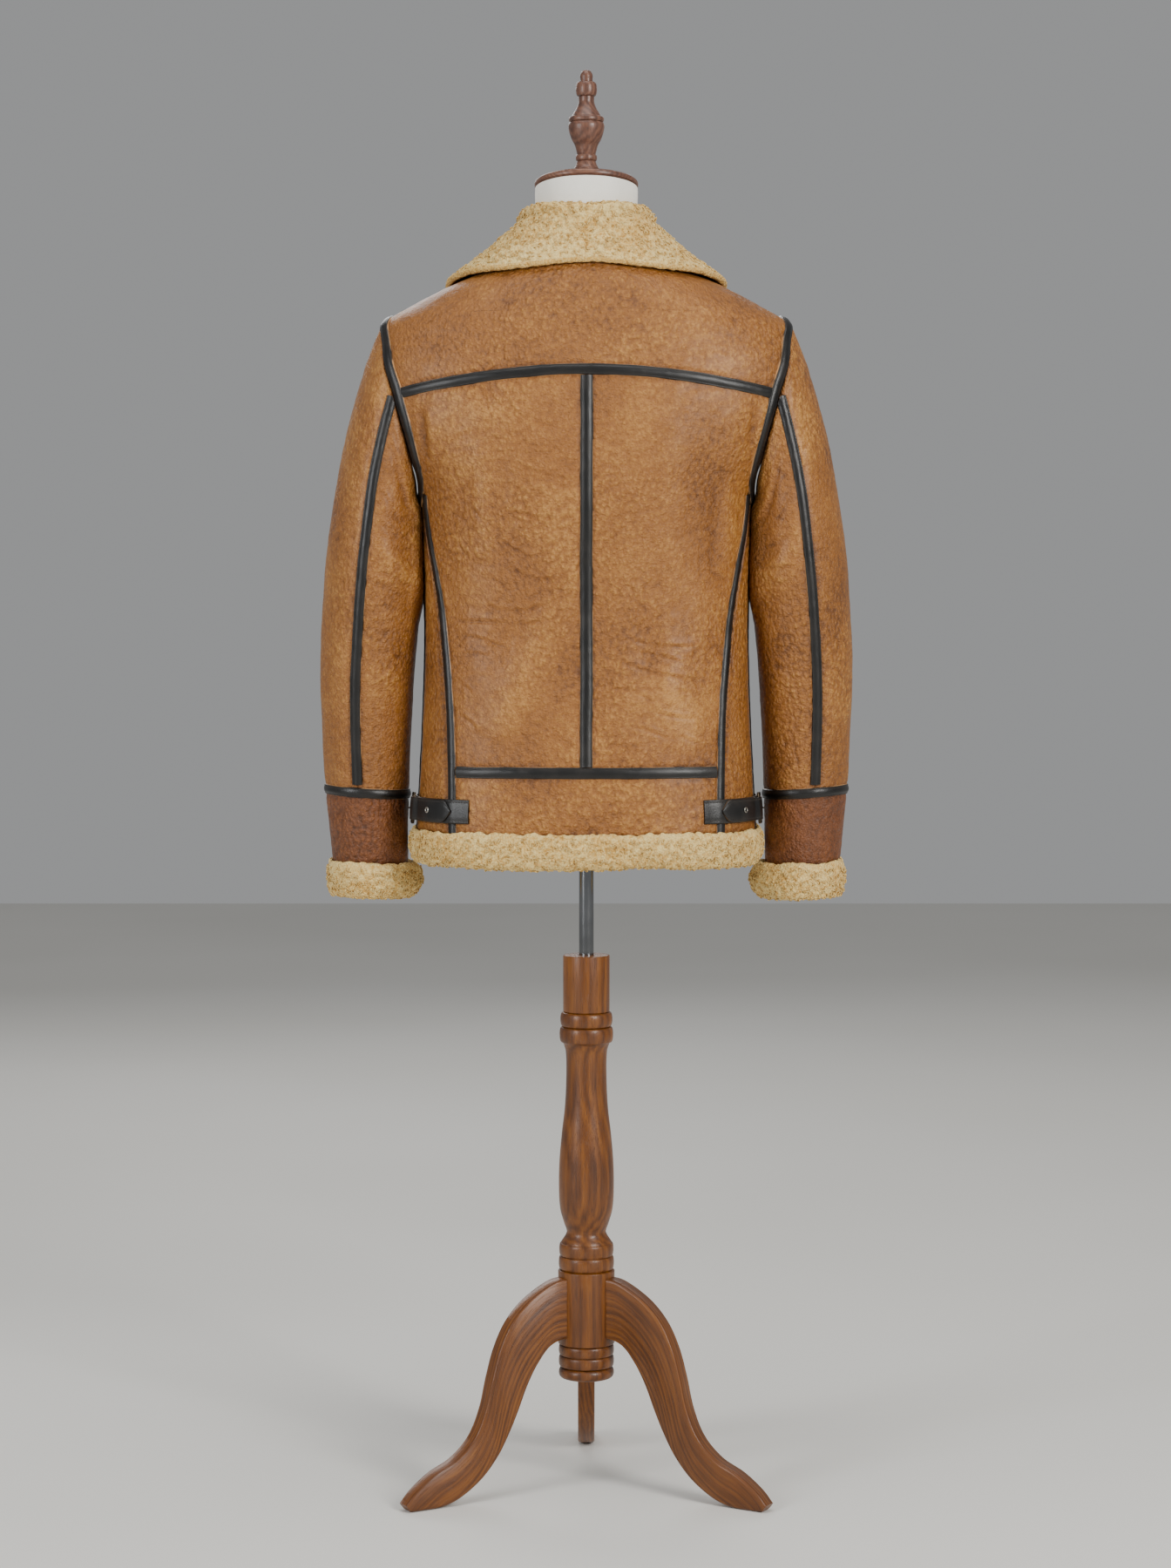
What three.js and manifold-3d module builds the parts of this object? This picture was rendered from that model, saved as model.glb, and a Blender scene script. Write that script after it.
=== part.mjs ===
// A shearling coat worn by a limbless dress form on a turned wooden stand.
// Millimetres, +Z up. The coat's front faces -Y and its back +Y; the wearer's left is +X.
// Every leather panel is a wall taken from one body surface or one sleeve surface, cut along the seams.
import * as THREE from "three";
import { mergeVertices } from "three/addons/utils/BufferGeometryUtils.js";
import Module from "manifold-3d";

const wasm = await Module();
wasm.setup();

// Places and driving sizes
const AXIS_Y = 54; // the stand's axis lies this far behind the origin, which is the middle of the footprint
const SEAM_GAP = 0.25; // each panel stops this far short of its seam
const BODY_WALL = 9; // leather and clipped wool of the body panels
const SLEEVE_WALL = 7; // leather and clipped wool of the sleeves
const BINDING_WIDTH = 12;
const BINDING_HEIGHT = 1.7;
const BINDING_LIFT = 0.9; // from the panel to the strip sewn on it
const ARM_BINDING = { near: 0.6, far: 11.8, lift: 1.4 }; // its two edges, from the armhole's edge
const HEM_Z = 757; // lower edge of the leather
const HEM_SEAM_Z = 827; // seam between the back panels and the hem band
const YOKE_CENTRE_Z = 1272; // yoke seam at the centre back
const NECK_Z = 1402; // neckline at the back and the sides
const NECK_FRONT_Z = 1335; // neckline at the zip
const ZIP_HALF = 9.2; // half the opening between the two front edges

// Body sections: half width, depth to the back and to the front, and the power of the superellipse
const BODY = [
  { z: 715, half: 193, back: 122, front: 128, power: 2.5 },
  { z: 757, half: 192, back: 121, front: 127, power: 2.5 },
  { z: 827, half: 188, back: 117, front: 124, power: 2.45 },
  { z: 900, half: 184.5, back: 113.5, front: 122, power: 2.4 },
  { z: 980, half: 182.5, back: 112, front: 122, power: 2.35 },
  { z: 1050, half: 184.2, back: 115, front: 126, power: 2.3 },
  { z: 1095, half: 186, back: 118.5, front: 130, power: 2.3 },
  { z: 1128, half: 189, back: 120.5, front: 132, power: 2.3 },
  { z: 1150, half: 195.5, back: 121, front: 133, power: 2.3 },
  { z: 1191, half: 219.5, back: 121, front: 132, power: 2.3 },
  { z: 1223, half: 235.4, back: 120, front: 130, power: 2.3 },
  { z: 1250, half: 243.5, back: 118, front: 127, power: 2.3 },
  { z: 1280, half: 247.5, back: 114.5, front: 122, power: 2.3 },
  { z: 1310, half: 239, back: 109, front: 114, power: 2.25 },
  { z: 1329, half: 229, back: 105, front: 107, power: 2.2 },
  { z: 1350, half: 194, back: 99, front: 96, power: 2.15 },
  { z: 1369, half: 158, back: 92, front: 84, power: 2.1 },
  { z: 1386, half: 118, back: 84, front: 70, power: 2.05 },
  { z: 1402, half: 80, back: 71, front: 54, power: 2 },
];
// Soft folds of the body, the same on both sides: how far the middle stands out, and its half extents
const FOLDS = [
  { angle: 37, z: 1185, out: 2.6, wide: 17, tall: 85 }, // shoulder blade
  { angle: 0, z: 1030, out: -3, wide: 10, tall: 95 }, // hollow of the back
  { angle: 60, z: 1195, out: 2.2, wide: 5, tall: 50 }, // fold beside the armhole
  { angle: 34, z: 985, out: -2, wide: 12, tall: 36 }, // waist
  { angle: 44, z: 930, out: 2.2, wide: 14, tall: 30 },
  { angle: 22, z: 890, out: 1.8, wide: 12, tall: 34 },
  { angle: 142, z: 1185, out: 3, wide: 18, tall: 80 }, // chest
  { angle: 120, z: 985, out: -2, wide: 16, tall: 40 },
];
// Princess seam of the back: its distance from the centre back
const PRINCESS = [
  { z: 757, x: 150 },
  { z: 827, x: 150.5 },
  { z: 900, x: 152.5 },
  { z: 960, x: 157 },
  { z: 1000, x: 161 },
  { z: 1045, x: 168 },
  { z: 1095, x: 177.5 },
  { z: 1141.5, x: 182 },
];
const PANEL_ROWS_Z = [757, 792, 827, 890, 955, 1020, 1075, 1112];
const RIDGE_ROWS_Z = [1350, 1369, 1386, NECK_Z];

// Armhole: an oval in the side view, from the shoulder point (0 degrees) round the back to the underarm (180)
const ARMHOLE = { middle: 1228.5, half: 100.5, back: 66, front: 60 };
const ARM_BACK = [0, 20, 40, 60, 80, 103, 127, 150, 165, 180];
const ARM_FRONT = [195, 210, 227, 244, 262, 282, 302, 321, 340, 360];
const sleeveTurns = [...ARM_BACK, ...ARM_FRONT.slice(0, -1)];
const SLEEVE_BACK_SEAM = 80;
const SLEEVE_FRONT_SEAM = 262;

// Sleeve rings from the armhole to the wrist: outermost and innermost point, middle of the depth, half depth
const SLEEVE = [
  { ring: 0, outX: 229.6, outZ: 1329, inX: 190.4, inZ: 1128, midY: 3, depth: 63 },
  { ring: 1, outX: 246, outZ: 1290, inX: 190.3, inZ: 1111, midY: 2, depth: 66 },
  { ring: 2, outX: 262, outZ: 1240, inX: 189.6, inZ: 1091, midY: 0, depth: 69 },
  { ring: 3, outX: 276, outZ: 1185, inX: 188.8, inZ: 1068, midY: -1, depth: 71 },
  { ring: 4, outX: 287, outZ: 1125, inX: 188.2, inZ: 1040, midY: -2, depth: 70 },
  { ring: 5, outX: 295, outZ: 1068, inX: 189.2, inZ: 1008, midY: -4, depth: 68 },
  { ring: 6, outX: 300, outZ: 1005, inX: 193.2, inZ: 965, midY: -8, depth: 65 },
  { ring: 7, outX: 303, outZ: 940, inX: 197.5, inZ: 915, midY: -13, depth: 61 },
  { ring: 8, outX: 302, outZ: 875, inX: 200.5, inZ: 862, midY: -19, depth: 57 },
  { ring: 9, outX: 298.5, outZ: 802, inX: 203, inZ: 796, midY: -26, depth: 52 },
  { ring: 10, outX: 295, outZ: 760, inX: 204.5, inZ: 756, midY: -30, depth: 49 },
  { ring: 11, outX: 291, outZ: 717, inX: 205, inZ: 714, midY: -33, depth: 47 },
];
const CUFF_RING = 9;
const WRIST_RING = 11;

// Wool rolls: points of the cross-section, outwards from the leather and up from its edge
const HEM_ROLL = [
  { out: -10, up: -0.8 },
  { out: 2, up: -0.8 },
  { out: 7, up: -8 },
  { out: 8, up: -20 },
  { out: 4.5, up: -32 },
  { out: -3, up: -36.5 },
  { out: -10, up: -26 },
];
const CUFF_ROLL = [
  { out: -8, up: -0.8 },
  { out: 2, up: -0.8 },
  { out: 9, up: -5 },
  { out: 12, up: -17 },
  { out: 9.5, up: -29 },
  { out: 1, up: -37 },
  { out: -9, up: -24 },
];

// Collar, from the centre back (share 0) to its front end (share 1): the neck seam on the body, the fold
// round the neck and the outer edge on the body. Angles are degrees from the centre back.
const COLLAR_HALF = [
  { share: 0, neck: 0, neckZ: 1402, fold: 0, foldReach: 71.5, foldZ: 1453.5, edge: 0, edgeZ: 1390 },
  { share: 0.25, neck: 45, neckZ: 1402, fold: 45, foldReach: 71.5, foldZ: 1455, edge: 48, edgeZ: 1382 },
  { share: 0.5, neck: 90, neckZ: 1402, fold: 90, foldReach: 72.5, foldZ: 1458, edge: 88, edgeZ: 1368 },
  { share: 0.68, neck: 124, neckZ: 1391, fold: 124, foldReach: 80, foldZ: 1443, edge: 117, edgeZ: 1344 },
  { share: 0.84, neck: 150, neckZ: 1367, fold: 150, foldReach: 97, foldZ: 1408, edge: 136, edgeZ: 1312 },
  { share: 1, neck: 172, neckZ: 1341, fold: 171, foldReach: 119, foldZ: 1366, edge: 150, edgeZ: 1272 },
];
const otherHalf = ({ share, neck, fold, edge, ...same }) => ({
  ...same,
  share: -share,
  neck: -neck,
  fold: -fold,
  edge: -edge,
});
const COLLAR = [...COLLAR_HALF.slice(1).reverse().map(otherHalf), ...COLLAR_HALF];
const COLLAR_WALL = 9;
const COLLAR_CLEAR = 1.6; // between the fall of the collar and the shoulder under it
const FOLD_RADIUS = 8;

// Side adjuster: a strap round the hip, a pointed tongue and its buckle
const STRAP_Z = 783;
const STRAP_HALF = 13.5;
const STRAP_THICK = 2.2;
const BUCKLE_AT = 81.5; // degrees from the centre back
const EYELET_AT = 69;
const BUCKLE_LOW = 3 + STRAP_THICK + 0.6; // height of the tongue and the buckle over the panel

// Dress form: sections of the torso and neck
const FORM = [
  { z: 768, half: 158, back: 94, front: 96, power: 2.3 },
  { z: 860, half: 162, back: 96, front: 100, power: 2.3 },
  { z: 980, half: 160, back: 95, front: 102, power: 2.3 },
  { z: 1100, half: 165, back: 101, front: 112, power: 2.25 },
  { z: 1225, half: 180, back: 101, front: 110, power: 2.2 },
  { z: 1290, half: 196, back: 96, front: 102, power: 2.2 },
  { z: 1325, half: 197, back: 91, front: 92, power: 2.15 },
  { z: 1341.4, half: 188.8, back: 87, front: 85, power: 2.1 },
  { z: 1360.1, half: 153.7, back: 82, front: 74, power: 2.05 },
  { z: 1377, half: 114, back: 74, front: 62, power: 2 },
  { z: 1390, half: 81, back: 61.5, front: 53, power: 2 },
  { z: 1404, half: 60, back: 57, front: 53, power: 2 },
  { z: 1480, half: 57.8, back: 57, front: 55, power: 2 },
];
const NECK_TILT = 9.5; // the neck is cut higher at the back, in degrees
const FORM_BORE = { radius: 8.9, top: 899.4 };

// Stand
const POLE = { radius: 8.4, bottom: 293, top: 899 };
const COLUMN_BORE = { radius: 9, bottom: 190 };
const LEG_THICK = 20;
const LEG_BLOCK_RADIUS = 32.5;
const LEG_ANGLE = 60; // of the two back legs, in degrees from +Y; the third leg points to the front
// Leg rows from the column to the toe: distance from the stand's axis and height of the top and under edges
const LEG = [
  { row: 0, topOut: 20, topZ: 244, lowOut: 20, lowZ: 178 },
  { row: 1, topOut: 46, topZ: 241, lowOut: 50, lowZ: 169 },
  { row: 2, topOut: 79, topZ: 223, lowOut: 68, lowZ: 150 },
  { row: 3, topOut: 102, topZ: 200, lowOut: 82, lowZ: 126 },
  { row: 4, topOut: 117, topZ: 172, lowOut: 94, lowZ: 98 },
  { row: 5, topOut: 127, topZ: 140, lowOut: 106, lowZ: 73 },
  { row: 6, topOut: 136, topZ: 104, lowOut: 121, lowZ: 48 },
  { row: 7, topOut: 150, topZ: 74, lowOut: 142, lowZ: 25 },
  { row: 8, topOut: 173, topZ: 52, lowOut: 170, lowZ: 7 },
  { row: 9, topOut: 201, topZ: 38.5, lowOut: 196, lowZ: 0 },
  { row: 10, topOut: 224, topZ: 22, lowOut: 220, lowZ: 0 },
  { row: 11, topOut: 237, topZ: 8, lowOut: 231, lowZ: 0 },
];

const COLOURS = {
  tan: { color: 0xb07a45, roughness: 0.5, metalness: 0 },
  binding: { color: 0x1c1a18, roughness: 0.45, metalness: 0 },
  wool: { color: 0xe6cf9c, roughness: 1, metalness: 0 },
  steel: { color: 0xb8b8b8, roughness: 0.25, metalness: 1 },
  wood: { color: 0x8a5127, roughness: 0.45, metalness: 0 },
  cloth: { color: 0xe8e4d8, roughness: 0.8, metalness: 0 },
};

const rad = THREE.MathUtils.degToRad;
const deg = THREE.MathUtils.radToDeg;

// One column of a table as a smooth function: cubic pieces whose slopes come from the neighbouring rows
function smooth(rows, key, name) {
  const xs = rows.map((row) => row[key]);
  const ys = rows.map((row) => row[name]);
  const last = xs.length - 1;
  const slope = (i) => {
    const low = Math.max(i - 1, 0);
    const high = Math.min(i + 1, last);
    return (ys[high] - ys[low]) / (xs[high] - xs[low]);
  };
  return (x) => {
    let i = 0;
    while (i < last - 1 && x > xs[i + 1]) i += 1;
    const width = xs[i + 1] - xs[i];
    const t = Math.min(Math.max((x - xs[i]) / width, 0), 1);
    const rise = t * t * (3 - 2 * t);
    return (
      ys[i] * (1 - rise) +
      ys[i + 1] * rise +
      width * slope(i) * t * (1 - t) * (1 - t) -
      width * slope(i + 1) * t * t * (1 - t)
    );
  };
}

// A superellipse section with its folds: the point at a polar angle from +Y towards +X
function sectionOf(rows, folds = []) {
  const half = smooth(rows, "z", "half");
  const back = smooth(rows, "z", "back");
  const front = smooth(rows, "z", "front");
  const power = smooth(rows, "z", "power");
  const depth = (z, isBack) => (isBack ? back(z) : front(z));
  const fold = (angle, z) =>
    folds.reduce((sum, row) => {
      const across = (Math.abs(angle) - row.angle) / row.wide;
      const up = (z - row.z) / row.tall;
      return sum + row.out * Math.exp(-across * across - up * up);
    }, 0);
  return {
    point(angle, z) {
      const s = Math.sin(rad(angle));
      const c = Math.cos(rad(angle));
      const n = power(z);
      const reach =
        Math.pow(Math.abs(s) / half(z), n) + Math.pow(Math.abs(c) / depth(z, c >= 0), n);
      const r = Math.pow(reach, -1 / n) + fold(angle, z);
      return new THREE.Vector3(r * s, r * c, z);
    },
    // angle of the section's point at depth y, on the +X side
    angleAtY(y, z) {
      const n = power(z);
      const share = Math.min(Math.abs(y) / depth(z, y >= 0), 1);
      return deg(Math.atan2(half(z) * Math.pow(1 - Math.pow(share, n), 1 / n), y));
    },
    // angle of the section's point at distance x from the middle, at the back or the front
    angleAtX(x, z, isBack) {
      const n = power(z);
      const y = depth(z, isBack) * Math.pow(1 - Math.pow(x / half(z), n), 1 / n);
      return deg(Math.atan2(x, isBack ? y : -y));
    },
  };
}

// A surface of two parameters, with its outward normal taken from small steps
function surfaceOf(point, stepU, stepV) {
  const frame = (u, v) => {
    const alongU = point(u + stepU, v).sub(point(u - stepU, v)).divideScalar(2 * stepU);
    const alongV = point(u, v + stepV).sub(point(u, v - stepV)).divideScalar(2 * stepV);
    return { alongU, alongV, normal: alongV.clone().cross(alongU).normalize() };
  };
  const lifted = (u, v, lift) => point(u, v).addScaledVector(frame(u, v).normal, lift);
  return { point, frame, lifted };
}

const bodySection = sectionOf(BODY, FOLDS);
const body = surfaceOf(bodySection.point, 0.2, 0.5);
const princessX = smooth(PRINCESS, "z", "x");

function armholePlace(turn) {
  const z = ARMHOLE.middle + ARMHOLE.half * Math.cos(rad(turn));
  const s = Math.sin(rad(turn));
  const y = s >= 0 ? ARMHOLE.back * s : ARMHOLE.front * s;
  return [bodySection.angleAtY(y, z), z];
}
const princessPlace = (z) => [bodySection.angleAtX(princessX(z), z, true), z];

// Neckline height: level round the back, then down to the zip in a soft curve
function necklineZ(angle) {
  const share = Math.max((Math.abs(angle) - 90) / 90, 0);
  return NECK_Z - (NECK_Z - NECK_FRONT_Z) * Math.pow(Math.sin((share * Math.PI) / 2), 1.6);
}

// Sleeve surface: ovals whose long axis turns from upright at the armhole to level at the wrist
const sleeveColumns = Object.fromEntries(
  ["outX", "outZ", "inX", "inZ", "midY", "depth"].map((name) => [name, smooth(SLEEVE, "ring", name)]),
);
function sleeveCentre(ring) {
  const at = (name) => sleeveColumns[name](ring);
  return new THREE.Vector3((at("outX") + at("inX")) / 2, at("midY"), (at("outZ") + at("inZ")) / 2);
}
function sleeveOval(turn, ring) {
  const at = (name) => sleeveColumns[name](ring);
  const c = Math.cos(rad(turn));
  return sleeveCentre(ring).add(
    new THREE.Vector3(
      (c * (at("outX") - at("inX"))) / 2,
      at("depth") * Math.sin(rad(turn)),
      (c * (at("outZ") - at("inZ"))) / 2,
    ),
  );
}
function sleevePoint(turn, ring) {
  const fade = Math.pow(Math.max(1 - Math.max(ring, 0) / 2, 0), 2);
  const p = sleeveOval(turn, ring);
  if (fade === 0) return p;
  const start = body.point(...armholePlace(turn));
  start.x += 0.6 + 2.8 * (0.5 - 0.5 * Math.cos(rad(turn)));
  return p.addScaledVector(start.sub(sleeveOval(turn, 0)), fade);
}
const sleeve = surfaceOf(sleevePoint, 0.5, 0.01);
function sleeveInside(turn, ring, wall) {
  const p = sleevePoint(turn, ring);
  const inwards = sleeveCentre(ring).sub(p).normalize();
  return p.addScaledVector(inwards, wall);
}

// Meshes from grids and rings of points
function solidMesh(points, faces) {
  const geometry = new THREE.BufferGeometry();
  geometry.setAttribute(
    "position",
    new THREE.Float32BufferAttribute(points.flatMap((p) => [p.x, p.y, p.z]), 3),
  );
  let volume = 0;
  for (const [a, b, c] of faces) {
    volume += points[a].dot(new THREE.Vector3().crossVectors(points[b], points[c]));
  }
  const outward = volume < 0 ? faces.map(([a, b, c]) => [a, c, b]) : faces;
  geometry.setIndex(outward.flat());
  return geometry;
}

// A closed wall between two grids of points, [column][row]; a wrapped wall is a tube
function wall(outer, inner, wrapped = false) {
  const columns = outer.length;
  const rows = outer[0].length;
  const points = [...outer.flat(), ...inner.flat()];
  const faces = [];
  const id = (side, i, j) => side * columns * rows + (i % columns) * rows + j;
  const quad = (a, b, c, d) => faces.push([a, b, c], [a, c, d]);
  const spans = wrapped ? columns : columns - 1;
  for (let i = 0; i < spans; i += 1) {
    for (let j = 0; j < rows - 1; j += 1) {
      quad(id(0, i, j), id(0, i + 1, j), id(0, i + 1, j + 1), id(0, i, j + 1));
      quad(id(1, i, j), id(1, i, j + 1), id(1, i + 1, j + 1), id(1, i + 1, j));
    }
    const top = rows - 1;
    quad(id(0, i, 0), id(1, i, 0), id(1, i + 1, 0), id(0, i + 1, 0));
    quad(id(0, i, top), id(0, i + 1, top), id(1, i + 1, top), id(1, i, top));
  }
  if (!wrapped) {
    const end = columns - 1;
    for (let j = 0; j < rows - 1; j += 1) {
      quad(id(0, 0, j), id(0, 0, j + 1), id(1, 0, j + 1), id(1, 0, j));
      quad(id(0, end, j), id(1, end, j), id(1, end, j + 1), id(0, end, j + 1));
    }
  }
  return solidMesh(points, faces);
}

// A cross-section carried along: rings of points joined in turn, closed on itself or capped
function skin(rings, closed) {
  const around = rings[0].length;
  const points = rings.flat();
  const faces = [];
  const id = (k, i) => (k % rings.length) * around + (i % around);
  const spans = closed ? rings.length : rings.length - 1;
  for (let k = 0; k < spans; k += 1) {
    for (let i = 0; i < around; i += 1) {
      faces.push([id(k, i), id(k, i + 1), id(k + 1, i + 1)], [id(k, i), id(k + 1, i + 1), id(k + 1, i)]);
    }
  }
  if (!closed) {
    const end = rings.length - 1;
    for (let i = 1; i < around - 1; i += 1) {
      faces.push([id(0, 0), id(0, i + 1), id(0, i)], [id(end, 0), id(end, i), id(end, i + 1)]);
    }
  }
  return solidMesh(points, faces);
}

// Positions and shared corners only
function bare(geometry) {
  const copy = geometry.clone();
  for (const name of Object.keys(copy.attributes)) if (name !== "position") copy.deleteAttribute(name);
  return mergeVertices(copy, 1e-4);
}
function mirrored(geometry) {
  const copy = bare(geometry).scale(-1, 1, 1);
  const index = [...copy.index.array];
  for (let i = 0; i < index.length; i += 3) [index[i + 1], index[i + 2]] = [index[i + 2], index[i + 1]];
  copy.setIndex(index);
  return copy;
}

// Joins and cuts
function toSolid(geometry) {
  const merged = bare(geometry);
  return new wasm.Manifold(
    new wasm.Mesh({
      numProp: 3,
      vertProperties: merged.attributes.position.array,
      triVerts: new Uint32Array(merged.index.array),
    }),
  );
}
function toGeometry(solid) {
  const mesh = solid.getMesh();
  const geometry = new THREE.BufferGeometry();
  geometry.setAttribute("position", new THREE.Float32BufferAttribute([...mesh.vertProperties], 3));
  geometry.setIndex([...mesh.triVerts]);
  return geometry;
}
// The first piece without the others; only its largest part is kept
function cut(geometry, ...tools) {
  const left = tools.reduce((solid, tool) => solid.subtract(toSolid(tool)), toSolid(geometry));
  return toGeometry(left.decompose().sort((a, b) => b.volume() - a.volume())[0]);
}
const join = (...geometries) => toGeometry(geometries.map(toSolid).reduce((a, b) => a.add(b)));

// Panels of the body: the area between four edges, each a list of [angle, height]
function coonsPatch(left, right, bottom, top) {
  const columns = bottom.length - 1;
  const rows = left.length - 1;
  const mix = (a, b, t) => a.map((value, k) => value * (1 - t) + b[k] * t);
  return bottom.map((_, i) =>
    left.map((__, j) => {
      const u = i / columns;
      const v = j / rows;
      const across = mix(left[j], right[j], u);
      const upward = mix(bottom[i], top[i], v);
      const corners = mix(mix(left[0], right[0], u), mix(left[rows], right[rows], u), v);
      return across.map((value, k) => value + upward[k] - corners[k]);
    }),
  );
}
// The same grid with each edge drawn in by the seam gap
function drawnIn(places) {
  const columns = places.length - 1;
  const rows = places[0].length - 1;
  const step = (from, to) => {
    const length = body.point(...from).distanceTo(body.point(...to));
    return from.map((value, k) => ((to[k] - value) * SEAM_GAP) / length);
  };
  return places.map((column, i) =>
    column.map((place, j) => {
      let moved = place;
      const add = (by) => (moved = moved.map((value, k) => value + by[k]));
      if (i === 0) add(step(place, places[1][j]));
      if (i === columns) add(step(place, places[columns - 1][j]));
      if (j === 0) add(step(place, column[1]));
      if (j === rows) add(step(place, column[rows - 1]));
      return moved;
    }),
  );
}
function bodyPanel(left, right, bottom, top) {
  const places = drawnIn(coonsPatch(left, right, bottom, top));
  return wall(
    places.map((column) => column.map(([angle, z]) => body.point(angle, z))),
    places.map((column) => column.map(([angle, z]) => body.lifted(angle, z, -BODY_WALL))),
  );
}
const steps = (count) => Array.from({ length: count + 1 }, (_, i) => i / count);

// Seams of the left half, as lists of [angle, height] from the bottom up
const BACK_COLUMNS = 6;
const FRONT_COLUMNS = 6;
const backArm = ARM_BACK.filter((turn) => turn >= SLEEVE_BACK_SEAM && turn <= 150).reverse();
const yokeArm = ARM_BACK.filter((turn) => turn <= SLEEVE_BACK_SEAM).reverse();
const sideArm = ARM_BACK.filter((turn) => turn >= 150);
const princessSeam = [...PANEL_ROWS_Z.map(princessPlace), armholePlace(150)];
const sideSeam = [...PANEL_ROWS_Z.map((z) => [90, z]), armholePlace(180)];
const backEdge = [
  ...PANEL_ROWS_Z.filter((z) => z >= HEM_SEAM_Z).map(princessPlace),
  ...backArm.map(armholePlace),
];
const ridge = RIDGE_ROWS_Z.map((z) => [90, z]);
const yokeEnd = armholePlace(SLEEVE_BACK_SEAM);
const yokeSeam = steps(BACK_COLUMNS).map((u) => [
  u * yokeEnd[0],
  YOKE_CENTRE_Z + (yokeEnd[1] - YOKE_CENTRE_Z) * Math.pow(u, 2.6),
]);
const hemSeam = steps(BACK_COLUMNS).map((u) => [u * princessPlace(HEM_SEAM_Z)[0], HEM_SEAM_Z]);
const zipEdgeAngle = (z) => bodySection.angleAtX(ZIP_HALF, z, false);
const bothSides = (half) => [...half.slice(1).reverse().map(([angle, z]) => [-angle, z]), ...half];
const negative = (edge) => edge.map(([angle, z]) => [-angle, z]);

function backPanel() {
  const centre = steps(backEdge.length - 1).map((v) => [0, HEM_SEAM_Z + (YOKE_CENTRE_Z - HEM_SEAM_Z) * v]);
  return bodyPanel(centre, backEdge, hemSeam, yokeSeam);
}
function yoke() {
  const edge = [...yokeArm.map(armholePlace), ...ridge];
  const neckline = steps(2 * BACK_COLUMNS).map((u) => [-90 + 180 * u, NECK_Z]);
  return bodyPanel(negative(edge), edge, bothSides(yokeSeam), neckline);
}
function hemBand() {
  const edge = PANEL_ROWS_Z.filter((z) => z <= HEM_SEAM_Z).map(princessPlace);
  const bottom = steps(BACK_COLUMNS).map((u) => [u * princessPlace(HEM_Z)[0], HEM_Z]);
  return bodyPanel(negative(edge), edge, bothSides(bottom), bothSides(hemSeam));
}
function sidePanel() {
  const columns = sideArm.length - 1;
  const start = princessPlace(HEM_Z)[0];
  const bottom = steps(columns).map((u) => [start + (90 - start) * u, HEM_Z]);
  return bodyPanel(princessSeam, sideSeam, bottom, sideArm.map(armholePlace));
}
function frontPanel() {
  const side = [...sideSeam, ...ARM_FRONT.map(armholePlace), ...ridge];
  const rows = side.length - 1;
  const zipZ = (v) => HEM_Z + (necklineZ(zipEdgeAngle(NECK_FRONT_Z)) - HEM_Z) * v;
  const zipEdge = steps(rows).map((v) => [zipEdgeAngle(zipZ(v)), zipZ(v)]);
  const across = (to) => steps(FRONT_COLUMNS).map((u) => 90 + (to - 90) * u);
  const bottom = across(zipEdgeAngle(HEM_Z)).map((angle) => [angle, HEM_Z]);
  const neckline = across(zipEdge[rows][0]).map((angle) => [angle, necklineZ(angle)]);
  return bodyPanel(side, zipEdge, bottom, neckline);
}

// A strip laid on a surface: rows give its place, half width and lift; the section is a low crown
function strip(surface, rows, { thick = BINDING_HEIGHT, crown = 0.6 } = {}) {
  const rings = rows.map((row, k) => {
    const [u, v] = row.at;
    const before = rows[Math.max(k - 1, 0)].at;
    const after = rows[Math.min(k + 1, rows.length - 1)].at;
    const run = surface.point(...after).sub(surface.point(...before)).normalize();
    const { alongU, alongV, normal } = surface.frame(u, v);
    const across = normal.clone().cross(run).normalize();
    // the step in u and v that moves the point one millimetre across
    const uu = alongU.dot(alongU);
    const uv = alongU.dot(alongV);
    const vv = alongV.dot(alongV);
    const au = alongU.dot(across);
    const av = alongV.dot(across);
    const det = uu * vv - uv * uv;
    const stepU = (au * vv - av * uv) / det;
    const stepV = (av * uu - au * uv) / det;
    const low = row.lift ?? BINDING_LIFT;
    const rim = low + thick * crown;
    const at = (side, lift) => surface.lifted(u + stepU * side, v + stepV * side, lift);
    const { half } = row;
    return [at(-half, low), at(-half, rim), at(0, low + thick), at(half, rim), at(half, low)];
  });
  return skin(rings, false);
}
const bindingRows = (places, half = BINDING_WIDTH / 2) => places.map((at) => ({ at, half }));

// Bindings
const CUT_GAP = 0.45; // left round a piece that another is cut to
function armholeBinding(grow = 0) {
  const places = sleeveTurns.map(armholePlace);
  const low = ARM_BINDING.lift - grow;
  const high = ARM_BINDING.lift + BINDING_HEIGHT + grow;
  const near = ARM_BINDING.near - grow;
  const far = ARM_BINDING.far + grow;
  const rings = places.map((place, k) => {
    const before = places[(k + places.length - 1) % places.length];
    const after = places[(k + 1) % places.length];
    const edge = body.point(...place);
    const run = body.point(...after).sub(body.point(...before));
    const across = run.cross(body.frame(...place).normal).normalize();
    if (across.dot(sleeveCentre(0).sub(edge)) > 0) across.negate();
    const at = (side, lift) => {
      const p = edge.clone().addScaledVector(across, side);
      return body.lifted(deg(Math.atan2(p.x, p.y)), p.z, lift);
    };
    const rim = low + (high - low) * 0.6;
    return [at(near, low), at(near, rim), at((near + far) / 2, high), at(far, rim), at(far, low)];
  });
  return skin(rings, true);
}
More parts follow.
